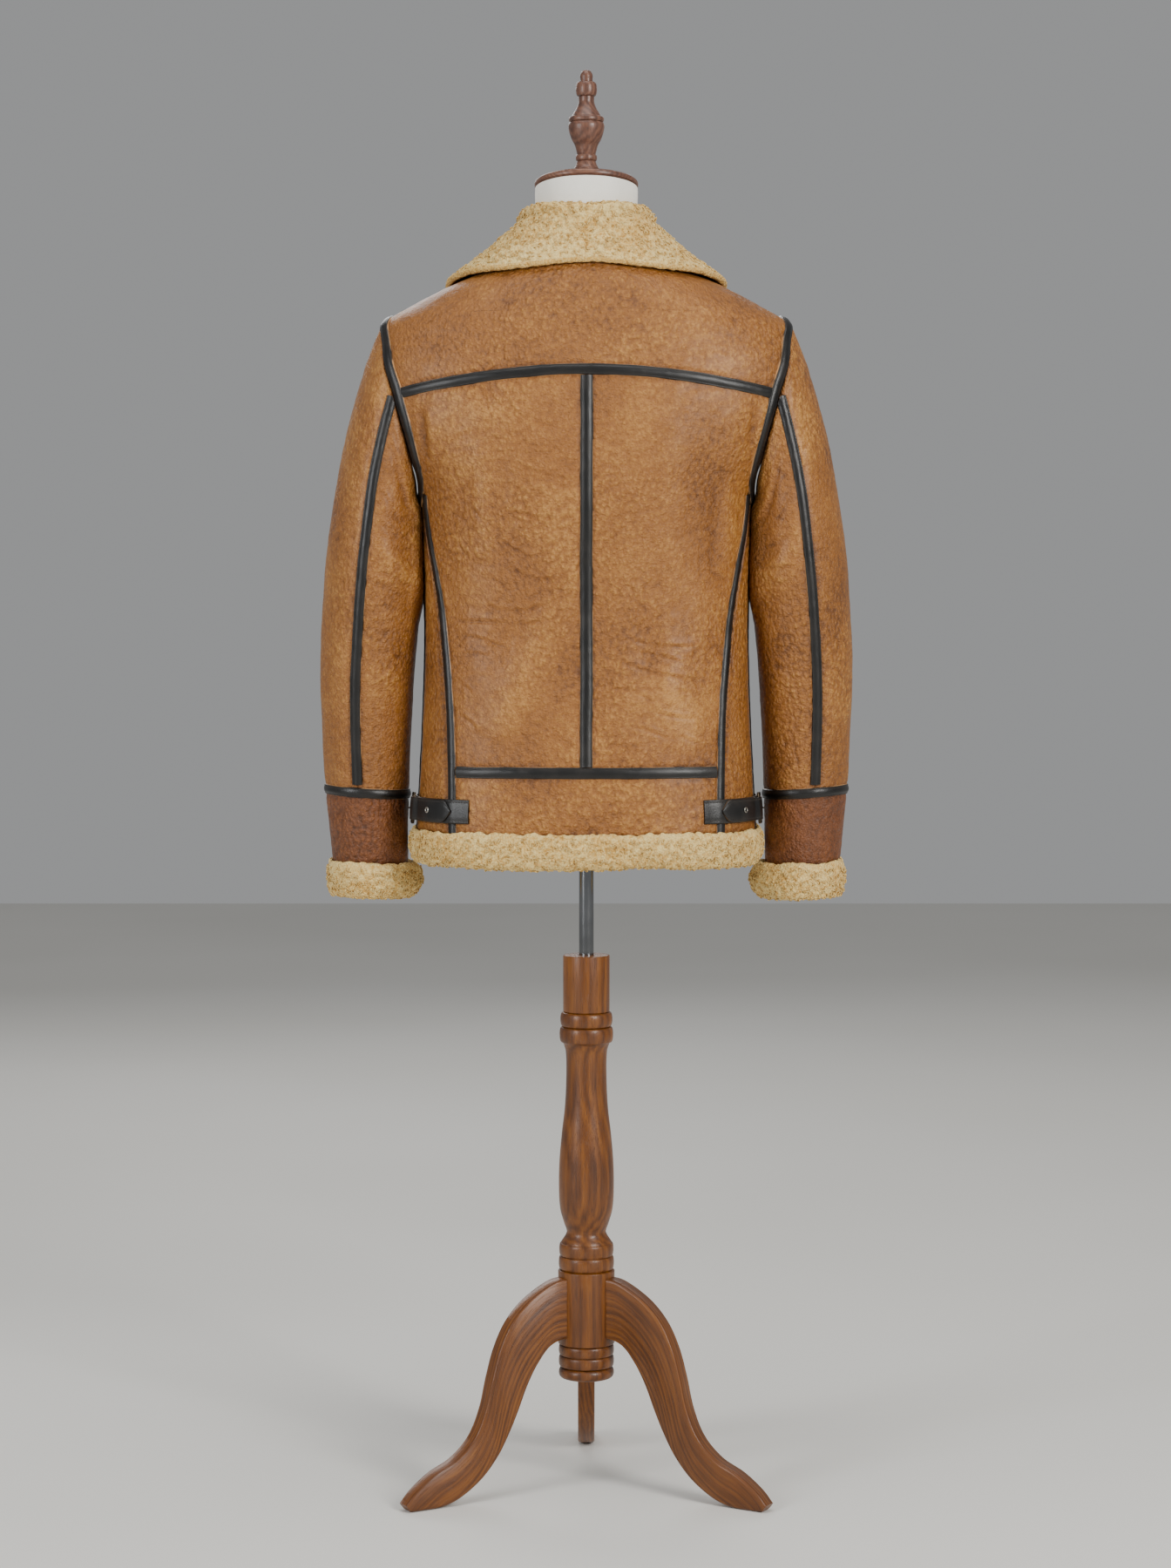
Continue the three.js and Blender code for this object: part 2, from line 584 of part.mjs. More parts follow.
function yokeBinding() {
  const rows = bothSides(yokeSeam);
  rows[0] = [rows[0][0] + 1.6, rows[0][1]];
  rows[rows.length - 1] = [rows[rows.length - 1][0] - 1.6, rows[rows.length - 1][1]];
  const tool = armholeBinding(CUT_GAP);
  return cut(strip(body, bindingRows(rows)), tool, mirrored(tool));
}
function centreBinding() {
  const from = HEM_SEAM_Z + 6.3 + CUT_GAP;
  const to = YOKE_CENTRE_Z - BINDING_WIDTH / 2 - CUT_GAP;
  const rows = steps(9).map((v) => [0, from + (to - from) * v]);
  return strip(body, bindingRows(rows, 6.8));
}
function princessBinding() {
  return cut(strip(body, bindingRows(princessSeam, 5)), armholeBinding(CUT_GAP));
}
function hemBinding() {
  const end = bodySection.angleAtX(princessX(HEM_SEAM_Z) - 5.6, HEM_SEAM_Z, true);
  const rows = bothSides(hemSeam.map(([angle, z]) => [(angle / hemSeam[BACK_COLUMNS][0]) * end, z]));
  return strip(body, bindingRows(rows, 6.3));
}
function sideBinding() {
  return cut(strip(body, bindingRows(sideSeam, 4)), armholeBinding(CUT_GAP));
}
function frontBinding() {
  const top = necklineZ(zipEdgeAngle(NECK_FRONT_Z)) - 1;
  const rows = steps(20).map((v) => {
    const z = HEM_Z + (top - HEM_Z) * v;
    return [bodySection.angleAtX(ZIP_HALF + 5.4, z, false), z];
  });
  return strip(body, bindingRows(rows, 5));
}
function sleeveBinding() {
  const rings = steps(CUFF_RING * 2).map((v) => v * (CUFF_RING - 0.2) + 0.04);
  return strip(
    sleeve,
    rings.map((ring) => ({ at: [SLEEVE_BACK_SEAM, ring], half: 5.8, lift: 1.3 })),
  );
}
function cuffBinding() {
  const rings = sleeveTurns.map((turn) => {
    const at = (ring, lift) => sleeve.lifted(turn, ring, lift);
    const share = 5.4 / 43; // one ring is about 43 mm long here
    return [
      at(CUFF_RING - share, 1),
      at(CUFF_RING - share, 2.1),
      at(CUFF_RING, 2.7),
      at(CUFF_RING + share, 2.1),
      at(CUFF_RING + share, 1),
    ];
  });
  return skin(rings, true);
}

// Sleeves
function sleevePart(turns, fromRing, toRing, ringCount, wrapped) {
  const rings = steps(ringCount).map((v) => fromRing + (toRing - fromRing) * v);
  return wall(
    turns.map((turn) => rings.map((ring) => sleevePoint(turn, ring))),
    turns.map((turn) => rings.map((ring) => sleeveInside(turn, ring, SLEEVE_WALL))),
    wrapped,
  );
}
const TURN_GAP = 0.25; // degrees, about the seam gap
const RING_GAP = 0.006; // rings, about the seam gap
function sleeveHalf(turns) {
  const last = turns.length - 1;
  const drawn = turns.map((turn, i) => turn + (i === 0 ? TURN_GAP : 0) - (i === last ? TURN_GAP : 0));
  return sleevePart(drawn, 0, CUFF_RING - RING_GAP, CUFF_RING, false);
}
const turnsBetween = (from, to) => sleeveTurns.filter((turn) => turn >= from && turn <= to);
const topSleeve = () =>
  sleeveHalf([
    ...turnsBetween(SLEEVE_FRONT_SEAM, 359).map((turn) => turn - 360),
    ...turnsBetween(0, SLEEVE_BACK_SEAM),
  ]);
const underSleeve = () => sleeveHalf(turnsBetween(SLEEVE_BACK_SEAM, SLEEVE_FRONT_SEAM));
const cuffBand = () => sleevePart(sleeveTurns, CUFF_RING + RING_GAP, WRIST_RING, 2, true);
function cuffWool() {
  const centre = sleeveCentre(WRIST_RING);
  const rings = sleeveTurns.map((turn) => {
    const edge = sleevePoint(turn, WRIST_RING);
    const away = edge.clone().sub(centre).normalize();
    const fullness = 0.85 - 0.4 * Math.cos(rad(turn)); // the roll is fuller on the side of the body
    return CUFF_ROLL.map(({ out, up }) =>
      edge.clone().addScaledVector(away, out * fullness).add(new THREE.Vector3(0, 0, up)),
    );
  });
  return skin(rings, true);
}

// Wool roll round the hem, open at the zip
function hemWool() {
  const ends = bodySection.angleAtX(2.5, HEM_Z, false);
  const rings = steps(34).map((v) => {
    const angle = -ends + 2 * ends * v;
    const edge = body.point(angle, HEM_Z);
    const { normal } = body.frame(angle, HEM_Z);
    const away = new THREE.Vector3(normal.x, normal.y, 0).normalize();
    return HEM_ROLL.map(({ out, up }) =>
      edge.clone().addScaledVector(away, out).add(new THREE.Vector3(0, 0, up)),
    );
  });
  return skin(rings, false);
}

// Collar: one folded sheet, up from the neck seam, over the fold and down to its edge on the shoulders
const collarColumns = Object.fromEntries(
  Object.keys(COLLAR[0])
    .filter((name) => name !== "share")
    .map((name) => [name, smooth(COLLAR, "share", name)]),
);
function collarSection(share) {
  const at = (name) => collarColumns[name](share);
  const away = new THREE.Vector3(Math.sin(rad(at("fold"))), Math.cos(rad(at("fold"))), 0);
  const fold = away.clone().multiplyScalar(at("foldReach")).setZ(at("foldZ"));
  const neckNormal = body.frame(at("neck"), at("neckZ")).normal;
  const neck = body.lifted(at("neck"), at("neckZ"), -COLLAR_WALL / 2);
  const seamLift = new THREE.Vector3(0, 0, 1).addScaledVector(neckNormal, -neckNormal.z).normalize();
  neck.addScaledVector(seamLift, 2.4);
  const edge = body.lifted(at("edge"), at("edgeZ"), COLLAR_CLEAR + COLLAR_WALL / 2);
  const down = (out, drop) =>
    fold.clone().addScaledVector(away, out).add(new THREE.Vector3(0, 0, -drop));
  const standTop = down(-FOLD_RADIUS, FOLD_RADIUS + 1);
  const fallTop = down(FOLD_RADIUS, FOLD_RADIUS + 1);
  const bend = 0.7 * FOLD_RADIUS;
  const line = [
    neck,
    neck.clone().lerp(standTop, 0.5),
    standTop,
    down(-bend, FOLD_RADIUS - bend),
    fold,
    down(bend, FOLD_RADIUS - bend),
    fallTop,
    fallTop.clone().lerp(edge, 0.33),
    fallTop.clone().lerp(edge, 0.67),
    edge,
  ];
  line[7].z += 1.5;
  line[8].z += 1.5;
  return line;
}
function collar() {
  const shares = steps(24).map((v) => 2 * v - 1);
  const grid = shares.map(collarSection);
  const rows = grid[0].length;
  const normalAt = (i, j) => {
    const alongI = grid[Math.min(i + 1, shares.length - 1)][j].clone().sub(grid[Math.max(i - 1, 0)][j]);
    const alongJ = grid[i][Math.min(j + 1, rows - 1)].clone().sub(grid[i][Math.max(j - 1, 0)]);
    return alongI.cross(alongJ).normalize();
  };
  const half = [3, 4.3, 4.5, 4.7, 5, 5, 5, 4.9, 4.7, 2.6];
  const side = (sign) =>
    grid.map((column, i) =>
      column.map((p, j) => p.clone().addScaledVector(normalAt(i, j), sign * half[j])),
    );
  return wall(side(1), side(-1));
}

// Side adjusters
const onHip = (angle, half, lift) => ({ at: [angle, STRAP_Z], half, lift });
function hipStrap() {
  const rows = [
    onHip(53, STRAP_HALF, 0.5),
    onHip(56, STRAP_HALF, 0.9),
    onHip(59, STRAP_HALF, 3),
    onHip(62, STRAP_HALF, 3),
    onHip(68, STRAP_HALF, 3),
    onHip(75, STRAP_HALF, 3),
    onHip(82, STRAP_HALF, 3),
    onHip(89, STRAP_HALF, 3),
    onHip(94, STRAP_HALF, 3),
    onHip(98, STRAP_HALF, 1),
    onHip(103, STRAP_HALF, 0.5),
  ];
  return strip(body, rows, { thick: STRAP_THICK, crown: 0.85 });
}
function tongue() {
  const low = BUCKLE_LOW;
  const rows = [
    onHip(59.2, 1.2, low),
    onHip(61, 9, low),
    onHip(62.4, 12.4, low),
    onHip(68, 12.8, low),
    onHip(75.4, 12.8, low),
    onHip(77.6, 12.8, low + 4),
    onHip(80.4, 12.8, low + 4),
    onHip(82, 12.8, low + 0.4),
    onHip(82.6, 12.8, low),
  ];
  return strip(body, rows, { thick: STRAP_THICK, crown: 0.85 });
}
// A frame that stands on the strap, its flat side square to the body's surface
function onBodyFrame(angle, z, lift) {
  const { alongU, normal } = body.frame(angle, z);
  const level = alongU.clone().normalize();
  const up = new THREE.Vector3().crossVectors(normal, level).normalize();
  if (up.z < 0) {
    up.negate();
    level.negate();
  }
  const matrix = new THREE.Matrix4().makeBasis(level, up, new THREE.Vector3().crossVectors(level, up));
  return matrix.setPosition(body.lifted(angle, z, lift));
}
function rectangle(Type, halfWidth, halfHeight, corner) {
  const shape = new Type();
  const w = halfWidth;
  const h = halfHeight;
  shape.moveTo(w - corner, -h);
  shape.absarc(w - corner, -h + corner, corner, -Math.PI / 2, 0);
  shape.absarc(w - corner, h - corner, corner, 0, Math.PI / 2);
  shape.absarc(-w + corner, h - corner, corner, Math.PI / 2, Math.PI);
  shape.absarc(-w + corner, -h + corner, corner, Math.PI, 1.5 * Math.PI);
  shape.closePath();
  return shape;
}
function buckle() {
  const shape = rectangle(THREE.Shape, 8, 18, 3);
  shape.holes.push(rectangle(THREE.Path, 5.4, 15, 1.5));
  const frame = new THREE.ExtrudeGeometry(shape, { depth: 2.6, bevelEnabled: false, curveSegments: 2 });
  return frame.applyMatrix4(onBodyFrame(BUCKLE_AT, STRAP_Z, BUCKLE_LOW + 0.3));
}
function eyelet() {
  const outline = [
    [1.6, 0.4],
    [3.4, 0.4],
    [3.1, 1.3],
    [1.6, 1.3],
    [1.6, 0.4],
  ].map(([x, y]) => new THREE.Vector2(x, y));
  const ring = new THREE.LatheGeometry(outline, 12).rotateX(Math.PI / 2);
  return ring.applyMatrix4(onBodyFrame(EYELET_AT, STRAP_Z, BUCKLE_LOW + STRAP_THICK));
}

// Zip: two tapes between the front edges, the slider and its pull tab
function zipTape() {
  const top = necklineZ(178) - 3;
  const rows = steps(14).map((v) => {
    const z = HEM_Z + (top - HEM_Z) * v;
    return { at: [bodySection.angleAtX(4.7, z, false), z], half: 4.2, lift: -4.6 };
  });
  return strip(body, rows, { thick: 1.5, crown: 1 });
}
const SLIDER_Z = 1306;
const HINGE = { lift: 5.2, pin: 0.8, bore: 1.15, barrel: 2.2 };
const sliderFrame = () => onBodyFrame(180, SLIDER_Z, 0);
const block = (w, h, d, x, y, z) => new THREE.BoxGeometry(w, h, d).translate(x, y, z);
function zipSlider() {
  const outline = new THREE.Shape();
  outline.moveTo(-5.6, -7);
  outline.lineTo(5.6, -7);
  outline.lineTo(6.6, 6);
  outline.quadraticCurveTo(0, 9.5, -6.6, 6);
  outline.closePath();
  const plate = new THREE.ExtrudeGeometry(outline, { depth: 4.6, bevelEnabled: false, curveSegments: 4 });
  plate.translate(0, 0, -2.7);
  const pin = new THREE.CylinderGeometry(HINGE.pin, HINGE.pin, 8, 10).rotateZ(Math.PI / 2);
  pin.translate(0, 0, HINGE.lift);
  const ear = (side) => block(1.2, 4, 5.6, side * 3.9, 0, 3.9);
  return join(plate, ear(1), ear(-1), pin).applyMatrix4(sliderFrame());
}
function pullTab() {
  const eye = [
    [HINGE.bore, -2.8],
    [HINGE.barrel, -2.8],
    [HINGE.barrel, 2.8],
    [HINGE.bore, 2.8],
    [HINGE.bore, -2.8],
  ].map(([x, y]) => new THREE.Vector2(x, y));
  const barrel = new THREE.LatheGeometry(eye, 16).rotateZ(Math.PI / 2);
  const leaf = new THREE.Shape();
  leaf.moveTo(-2.4, -1.5);
  leaf.lineTo(-3.6, -22);
  leaf.absarc(0, -22, 3.6, Math.PI, 2 * Math.PI);
  leaf.lineTo(2.4, -1.5);
  leaf.closePath();
  const plate = new THREE.ExtrudeGeometry(leaf, { depth: 1.4, bevelEnabled: false, curveSegments: 5 });
  plate.translate(0, 0, -0.7);
  return join(barrel, plate).translate(0, 0, HINGE.lift).applyMatrix4(sliderFrame());
}

// Dress form
const formSection = sectionOf(FORM);
function torso() {
  const heights = FORM.map((row) => row.z);
  const around = 24;
  const tilt = Math.tan(rad(NECK_TILT));
  const rings = heights.map((z) => {
    const share = Math.min(Math.max((z - 1404) / (1480 - 1404), 0), 1);
    return Array.from({ length: around }, (_, i) => {
      const p = formSection.point((360 * i) / around, z);
      p.z += share * tilt * p.y;
      return p;
    });
  });
  const bore = new THREE.CylinderGeometry(FORM_BORE.radius, FORM_BORE.radius, 200, 16);
  bore.rotateX(Math.PI / 2).translate(0, 0, FORM_BORE.top - 100);
  return cut(skin(rings, false), bore);
}
const lathe = (profile, segments) =>
  new THREE.LatheGeometry(profile.map(([r, z]) => new THREE.Vector2(r, z)), segments).rotateX(Math.PI / 2);
function neckCap(grow = 0) {
  const profile = [
    [0, 0.4 - grow],
    [56.5, 0.4 - grow],
    [58.4 + grow, 2.2],
    [58.4 + grow, 5.4],
    [56 + grow, 8.4 + grow],
    [40, 11 + grow],
    [18, 12.4 + grow],
    [0, 12.6 + grow],
  ];
  return lathe(profile, 24).rotateX(rad(NECK_TILT)).translate(0, 0, 1480);
}
function finial() {
  const profile = [
    [0, 1488],
    [14.5, 1488],
    [14.6, 1503],
    [10.6, 1511],
    [11.7, 1516],
    [10.4, 1519],
    [11.6, 1523],
    [13.1, 1529],
    [16.8, 1536],
    [19.4, 1544],
    [20.4, 1552],
    [18.6, 1555.5],
    [19.6, 1559],
    [11.2, 1570.5],
    [8.8, 1577],
    [8.8, 1583],
    [11.8, 1591],
    [10.4, 1598.5],
    [6.8, 1601],
    [7.2, 1606],
    [4.6, 1612],
    [0, 1613],
  ];
  return cut(lathe(profile, 14), neckCap(CUT_GAP));
}

// Stand
function pole() {
  return new THREE.CylinderGeometry(POLE.radius, POLE.radius, POLE.top - POLE.bottom, 20)
    .rotateX(Math.PI / 2)
    .translate(0, 0, (POLE.top + POLE.bottom) / 2);
}
const COLUMN_PROFILE = [
  [0, 125],
  [24, 125],
  [31.8, 132],
  [30, 138],
  [31.8, 145],
  [30, 152],
  [31.8, 157],
  [31.8, 163],
  [LEG_BLOCK_RADIUS, 168],
  [LEG_BLOCK_RADIUS, 248],
  [30, 254],
  [31.8, 262],
  [30, 270.5],
  [31.2, 277],
  [29.5, 284],
  [22, 294],
  [25.4, 303],
  [30, 320],
  [31.6, 345],
  [31, 375],
  [28.2, 408],
  [24.6, 440],
  [23, 480],
  [23.8, 503],
  [30.7, 516],
  [30.7, 527],
  [28.2, 532],
  [29.8, 538],
  [26.6, 549],
  [26.6, 611],
  [25, 613],
  [COLUMN_BORE.radius, 613],
  [COLUMN_BORE.radius, COLUMN_BORE.bottom],
  [0, COLUMN_BORE.bottom],
];
function column() {
  return lathe(COLUMN_PROFILE, 18);
}
const legColumns = Object.fromEntries(
  ["topOut", "topZ", "lowOut", "lowZ"].map((name) => [name, smooth(LEG, "row", name)]),
);
function leg(turn) {
  const w = LEG_THICK / 2;
  const chamfer = 2.5;
  const rings = steps(LEG.length - 1).map((v) => {
    const row = v * (LEG.length - 1);
    const top = new THREE.Vector3(0, legColumns.topOut(row), legColumns.topZ(row));
    const low = new THREE.Vector3(0, legColumns.lowOut(row), Math.max(legColumns.lowZ(row), 0));
    const down = low.clone().sub(top).normalize();
    const at = (from, side, along) =>
      from.clone().addScaledVector(down, along).add(new THREE.Vector3(side, 0, 0));
    return [
      at(top, -w + chamfer, 0),
      at(top, w - chamfer, 0),
      at(top, w, chamfer),
      at(low, w, -chamfer),
      at(low, w - chamfer, 0),
      at(low, -w + chamfer, 0),
      at(low, -w, -chamfer),
      at(top, -w, chamfer),
    ];
  });
  const tool = new THREE.CylinderGeometry(LEG_BLOCK_RADIUS + CUT_GAP, LEG_BLOCK_RADIUS + CUT_GAP, 200, 18);
  tool.rotateX(Math.PI / 2).translate(0, 0, 200);
  return cut(skin(rings, false).rotateZ(rad(-turn)), tool);
}

const object = new THREE.Group();
const coatOnStand = new THREE.Group();
coatOnStand.position.y = AXIS_Y;
object.add(coatOnStand);
function add(name, geometry, colour) {
  const mesh = new THREE.Mesh(geometry, new THREE.MeshStandardMaterial(COLOURS[colour]));
  mesh.name = name;
  coatOnStand.add(mesh);
}
function addPair(name, geometry, colour) {
  add(`${name}_left`, geometry, colour);
  add(`${name}_right`, mirrored(geometry), colour);
}

add("yoke", yoke(), "tan");
addPair("back", backPanel(), "tan");
add("hem_band", hemBand(), "tan");
addPair("side", sidePanel(), "tan");
addPair("front", frontPanel(), "tan");
addPair("top_sleeve", topSleeve(), "tan");
addPair("under_sleeve", underSleeve(), "tan");
addPair("cuff_band", cuffBand(), "tan");

add("yoke_binding", yokeBinding(), "binding");
add("centre_binding", centreBinding(), "binding");
add("hem_binding", hemBinding(), "binding");
addPair("princess_binding", princessBinding(), "binding");
addPair("side_binding", sideBinding(), "binding");
addPair("armhole_binding", armholeBinding(), "binding");
addPair("sleeve_binding", cut(sleeveBinding(), armholeBinding(CUT_GAP)), "binding");
addPair("cuff_binding", cuffBinding(), "binding");
addPair("front_binding", frontBinding(), "binding");

add("collar", collar(), "wool");
add("hem_wool", hemWool(), "wool");
addPair("cuff_wool", cuffWool(), "wool");

addPair("hip_strap", hipStrap(), "binding");
addPair("strap_tongue", tongue(), "binding");
addPair("buckle", buckle(), "steel");
addPair("eyelet", eyelet(), "steel");
addPair("zip_tape", zipTape(), "binding");
add("zip_slider", zipSlider(), "steel");
add("zip_pull", pullTab(), "steel");

add("dress_form", torso(), "cloth");
add("neck_cap", neckCap(), "wood");
add("finial", finial(), "wood");
add("pole", pole(), "steel");
add("column", column(), "wood");
addPair("leg", leg(LEG_ANGLE), "wood");
add("leg_front", leg(180), "wood");

export default object;
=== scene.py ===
import math

import bmesh
import bpy
import numpy as np
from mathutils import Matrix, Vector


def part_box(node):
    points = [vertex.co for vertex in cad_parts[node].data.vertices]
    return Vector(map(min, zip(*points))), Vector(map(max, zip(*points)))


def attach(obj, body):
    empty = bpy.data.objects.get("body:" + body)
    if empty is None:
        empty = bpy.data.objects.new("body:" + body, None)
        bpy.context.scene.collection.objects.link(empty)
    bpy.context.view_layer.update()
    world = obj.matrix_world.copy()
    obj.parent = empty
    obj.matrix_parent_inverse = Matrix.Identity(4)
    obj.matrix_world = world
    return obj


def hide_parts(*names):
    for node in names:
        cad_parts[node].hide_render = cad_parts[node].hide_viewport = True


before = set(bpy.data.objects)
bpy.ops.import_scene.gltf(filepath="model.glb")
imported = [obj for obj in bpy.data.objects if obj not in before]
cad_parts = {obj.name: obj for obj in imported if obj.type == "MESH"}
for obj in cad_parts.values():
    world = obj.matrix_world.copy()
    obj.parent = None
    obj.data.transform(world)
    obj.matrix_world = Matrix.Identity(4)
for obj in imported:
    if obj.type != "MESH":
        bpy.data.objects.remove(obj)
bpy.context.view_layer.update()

# Camera: it stands 4 m behind the coat, level with its hem, and is tipped down a little. The long
# portrait lens takes in the whole stand.
pole_low, pole_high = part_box("pole")
AXIS_Y = (pole_low.y + pole_high.y) / 2
CAMERA_DISTANCE = 4.0
CAMERA_HEIGHT = 1.053
CAMERA_TILT = 3.5
camera_data = bpy.data.cameras.new("camera")
camera_data.sensor_width = 36
camera_data.lens = 80.8
camera = bpy.data.objects.new("camera", camera_data)
camera.location = (0.001, AXIS_Y + CAMERA_DISTANCE, CAMERA_HEIGHT)
camera.rotation_euler = (math.radians(90 - CAMERA_TILT), 0, math.pi)
bpy.context.scene.collection.objects.link(camera)
bpy.context.scene.camera = camera

# Column: one turned oak spindle, varnished, bored from the top for the pole. It is a stack of beads,
# plain drums and one long vase, each turned round the stand's axis.
MM = 0.001


class Table:
    """Rows of named sizes. Each column is a smooth curve over the first one: between two rows it is the
    cubic whose slope at each row is that of the straight line between the rows before and after it."""

    def __init__(self, names, *rows):
        self.names = names.split()
        self.rows = np.array(rows, float)

    def __call__(self, name, x):
        xs = self.rows[:, 0]
        ys = self.rows[:, self.names.index(name)]
        last = len(xs) - 1
        before = np.maximum(np.arange(last + 1) - 1, 0)
        after = np.minimum(np.arange(last + 1) + 1, last)
        slope = (ys[after] - ys[before]) / (xs[after] - xs[before])
        i = np.clip(np.searchsorted(xs, x) - 1, 0, last - 1)
        width = xs[i + 1] - xs[i]
        t = np.clip((x - xs[i]) / width, 0, 1)
        rise = t * t * (3 - 2 * t)
        start = width * slope[i] * t * (1 - t) ** 2
        end = width * slope[i + 1] * t * t * (1 - t)
        return ys[i] * (1 - rise) + ys[i + 1] * rise + start - end


def net(columns, rows, wrap_columns=False, wrap_rows=False, first=0):
    """Four-sided faces between neighbours of a grid of points, numbered column by column from first.
    A wrapped direction also joins its last line of points to its first."""
    ids = first + np.arange(columns * rows).reshape(columns, rows)
    if wrap_columns:
        ids = np.vstack([ids, ids[:1]])
    if wrap_rows:
        ids = np.hstack([ids, ids[:, :1]])
    return np.stack([ids[:-1, :-1], ids[1:, :-1], ids[1:, 1:], ids[:-1, 1:]], -1).reshape(-1, 4)


def fan(ring, tip):
    """Three-sided faces from each pair of neighbours in a closed ring to one tip."""
    return np.stack([ring, np.roll(ring, -1), np.full(len(ring), tip)], -1)


def signed_volume(points, faces):
    """Sum over the triangles of a . (b x c) / 6, which is positive where the faces point outwards."""
    total = 0.0
    for group in faces:
        for k in range(1, group.shape[1] - 1):
            a, b, c = (points[group[:, n]] for n in (0, k, k + 1))
            total += np.einsum("ij,ij->", a, np.cross(b, c)) / 6
    return total


def build(name, points, faces, materials, body, kinds=None, uv=None, marks=None, crisp=None):
    """A piece from points in millimetres about the stand's axis and groups of faces. A shell that is inside
    out is turned. kinds picks each group's material, uv and marks are values at the points, and edges
    sharper than crisp degrees stay sharp."""
    points = np.asarray(points, float)
    if signed_volume(points, faces) < 0:
        faces = [group[:, ::-1] for group in faces]
    corners = np.concatenate([group.ravel() for group in faces]).astype(np.int32)
    sizes = np.concatenate([np.full(len(group), group.shape[1]) for group in faces])
    starts = np.concatenate([[0], np.cumsum(sizes)[:-1]]).astype(np.int32)
    mesh = bpy.data.meshes.new(name)
    mesh.vertices.add(len(points))
    placed = points * MM + [0, AXIS_Y, 0]
    mesh.vertices.foreach_set("co", placed.astype(np.float32).ravel())
    mesh.loops.add(len(corners))
    mesh.loops.foreach_set("vertex_index", corners)
    mesh.polygons.add(len(sizes))
    mesh.polygons.foreach_set("loop_start", starts)
    mesh.polygons.foreach_set("use_smooth", np.ones(len(sizes), bool))
    if kinds is not None:
        kind = np.concatenate([np.full(len(group), k) for group, k in zip(faces, kinds)])
        mesh.polygons.foreach_set("material_index", kind.astype(np.int32))
    if uv is not None:
        layer = mesh.uv_layers.new(name="UVMap")
        layer.data.foreach_set("uv", np.asarray(uv, np.float32)[corners].ravel())
    for mark, values in (marks or {}).items():
        values = np.asarray(values, np.float32)
        kind = "FLOAT_VECTOR" if values.ndim == 2 else "FLOAT"
        field = "vector" if values.ndim == 2 else "value"
        attribute = mesh.attributes.new(mark, kind, "POINT")
        attribute.data.foreach_set(field, values.ravel())
    mesh.update(calc_edges=True)
    if crisp is not None:
        mesh.set_sharp_from_angle(angle=math.radians(crisp))
    for material in materials:
        mesh.materials.append(material)
    piece = bpy.data.objects.new(name, mesh)
    bpy.context.scene.collection.objects.link(piece)
    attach(piece, body)
    return piece


def bead(low, high, groove, full):
    """A half-round moulding: the radius rises from the groove to its full size and back, as a flattened
    sine of the height."""
    t = np.linspace(0, 1, 15)
    radius = groove + (full - groove) * np.sin(np.pi * t) ** 0.7
    return np.stack([radius, low + (high - low) * (1 - np.cos(np.pi * t)) / 2], -1)


def drum(low, high, radius, ease=1.2):
    """A plain cylinder whose two rims are eased by a quarter round."""
    turn = np.radians(np.linspace(0, 90, 5))
    lower = np.stack([radius - ease + ease * np.sin(turn), low + ease - ease * np.cos(turn)], -1)
    upper = np.stack([lower[::-1, 0], low + high - lower[::-1, 1]], -1)
    return np.vstack([lower, upper])


def vase(rows, steps=60):
    """A flowing stretch through rows of height and radius."""
    table = Table("z radius", *rows)
    z = np.linspace(rows[0][0], rows[-1][0], steps)
    return np.stack([table("radius", z), z], -1)


def turned(*stretches, segments=96):
    """The points and faces of a solid turned on a lathe: x = r sin a and y = r cos a for each radius r of
    the profile. The first and the last point lie on the axis and are closed by fans."""
    profile = np.vstack(stretches)
    angle = np.linspace(0, 2 * np.pi, segments, endpoint=False)
    radius, z = profile[1:-1].T
    rings = np.stack(
        [np.outer(np.sin(angle), radius), np.outer(np.cos(angle), radius), np.tile(z, (segments, 1))], -1
    )
    tips = [[0, 0, profile[0, 1]], [0, 0, profile[-1, 1]]]
    points = np.vstack([rings.reshape(-1, 3), tips])
    start = np.arange(segments) * len(z)
    low = fan(start[::-1], len(points) - 2)
    high = fan(start + len(z) - 1, len(points) - 1)
    return points, [net(segments, len(z), wrap_columns=True), low, high]


class Wire:
    """An output of a shader node. Arithmetic on it adds Math nodes to the same material."""

    def __init__(self, finish, socket):
        self.finish = finish
        self.socket = socket

    def maths(self, operation, *values):
        sockets = dict(zip(("Value", "Value_001", "Value_002"), values))
        return self.finish.node("ShaderNodeMath", {"operation": operation}, sockets)

    def size(self):
        return self.maths("ABSOLUTE", self)

    def __add__(self, other):
        return self.maths("ADD", self, other)

    __radd__ = __add__

    def __sub__(self, other):
        return self.maths("SUBTRACT", self, other)

    def __rsub__(self, other):
        return self.maths("SUBTRACT", other, self)

    def __mul__(self, other):
        return self.maths("MULTIPLY", self, other)

    __rmul__ = __mul__

    def __pow__(self, other):
        return self.maths("POWER", self, other)

    def step(self, low, high):
        """0 below low, 1 above high and a soft rise between them."""
        sockets = {"Value": self, "From Min": low, "From Max": high}
        return self.finish.node("ShaderNodeMapRange", {"interpolation_type": "SMOOTHSTEP"}, sockets)


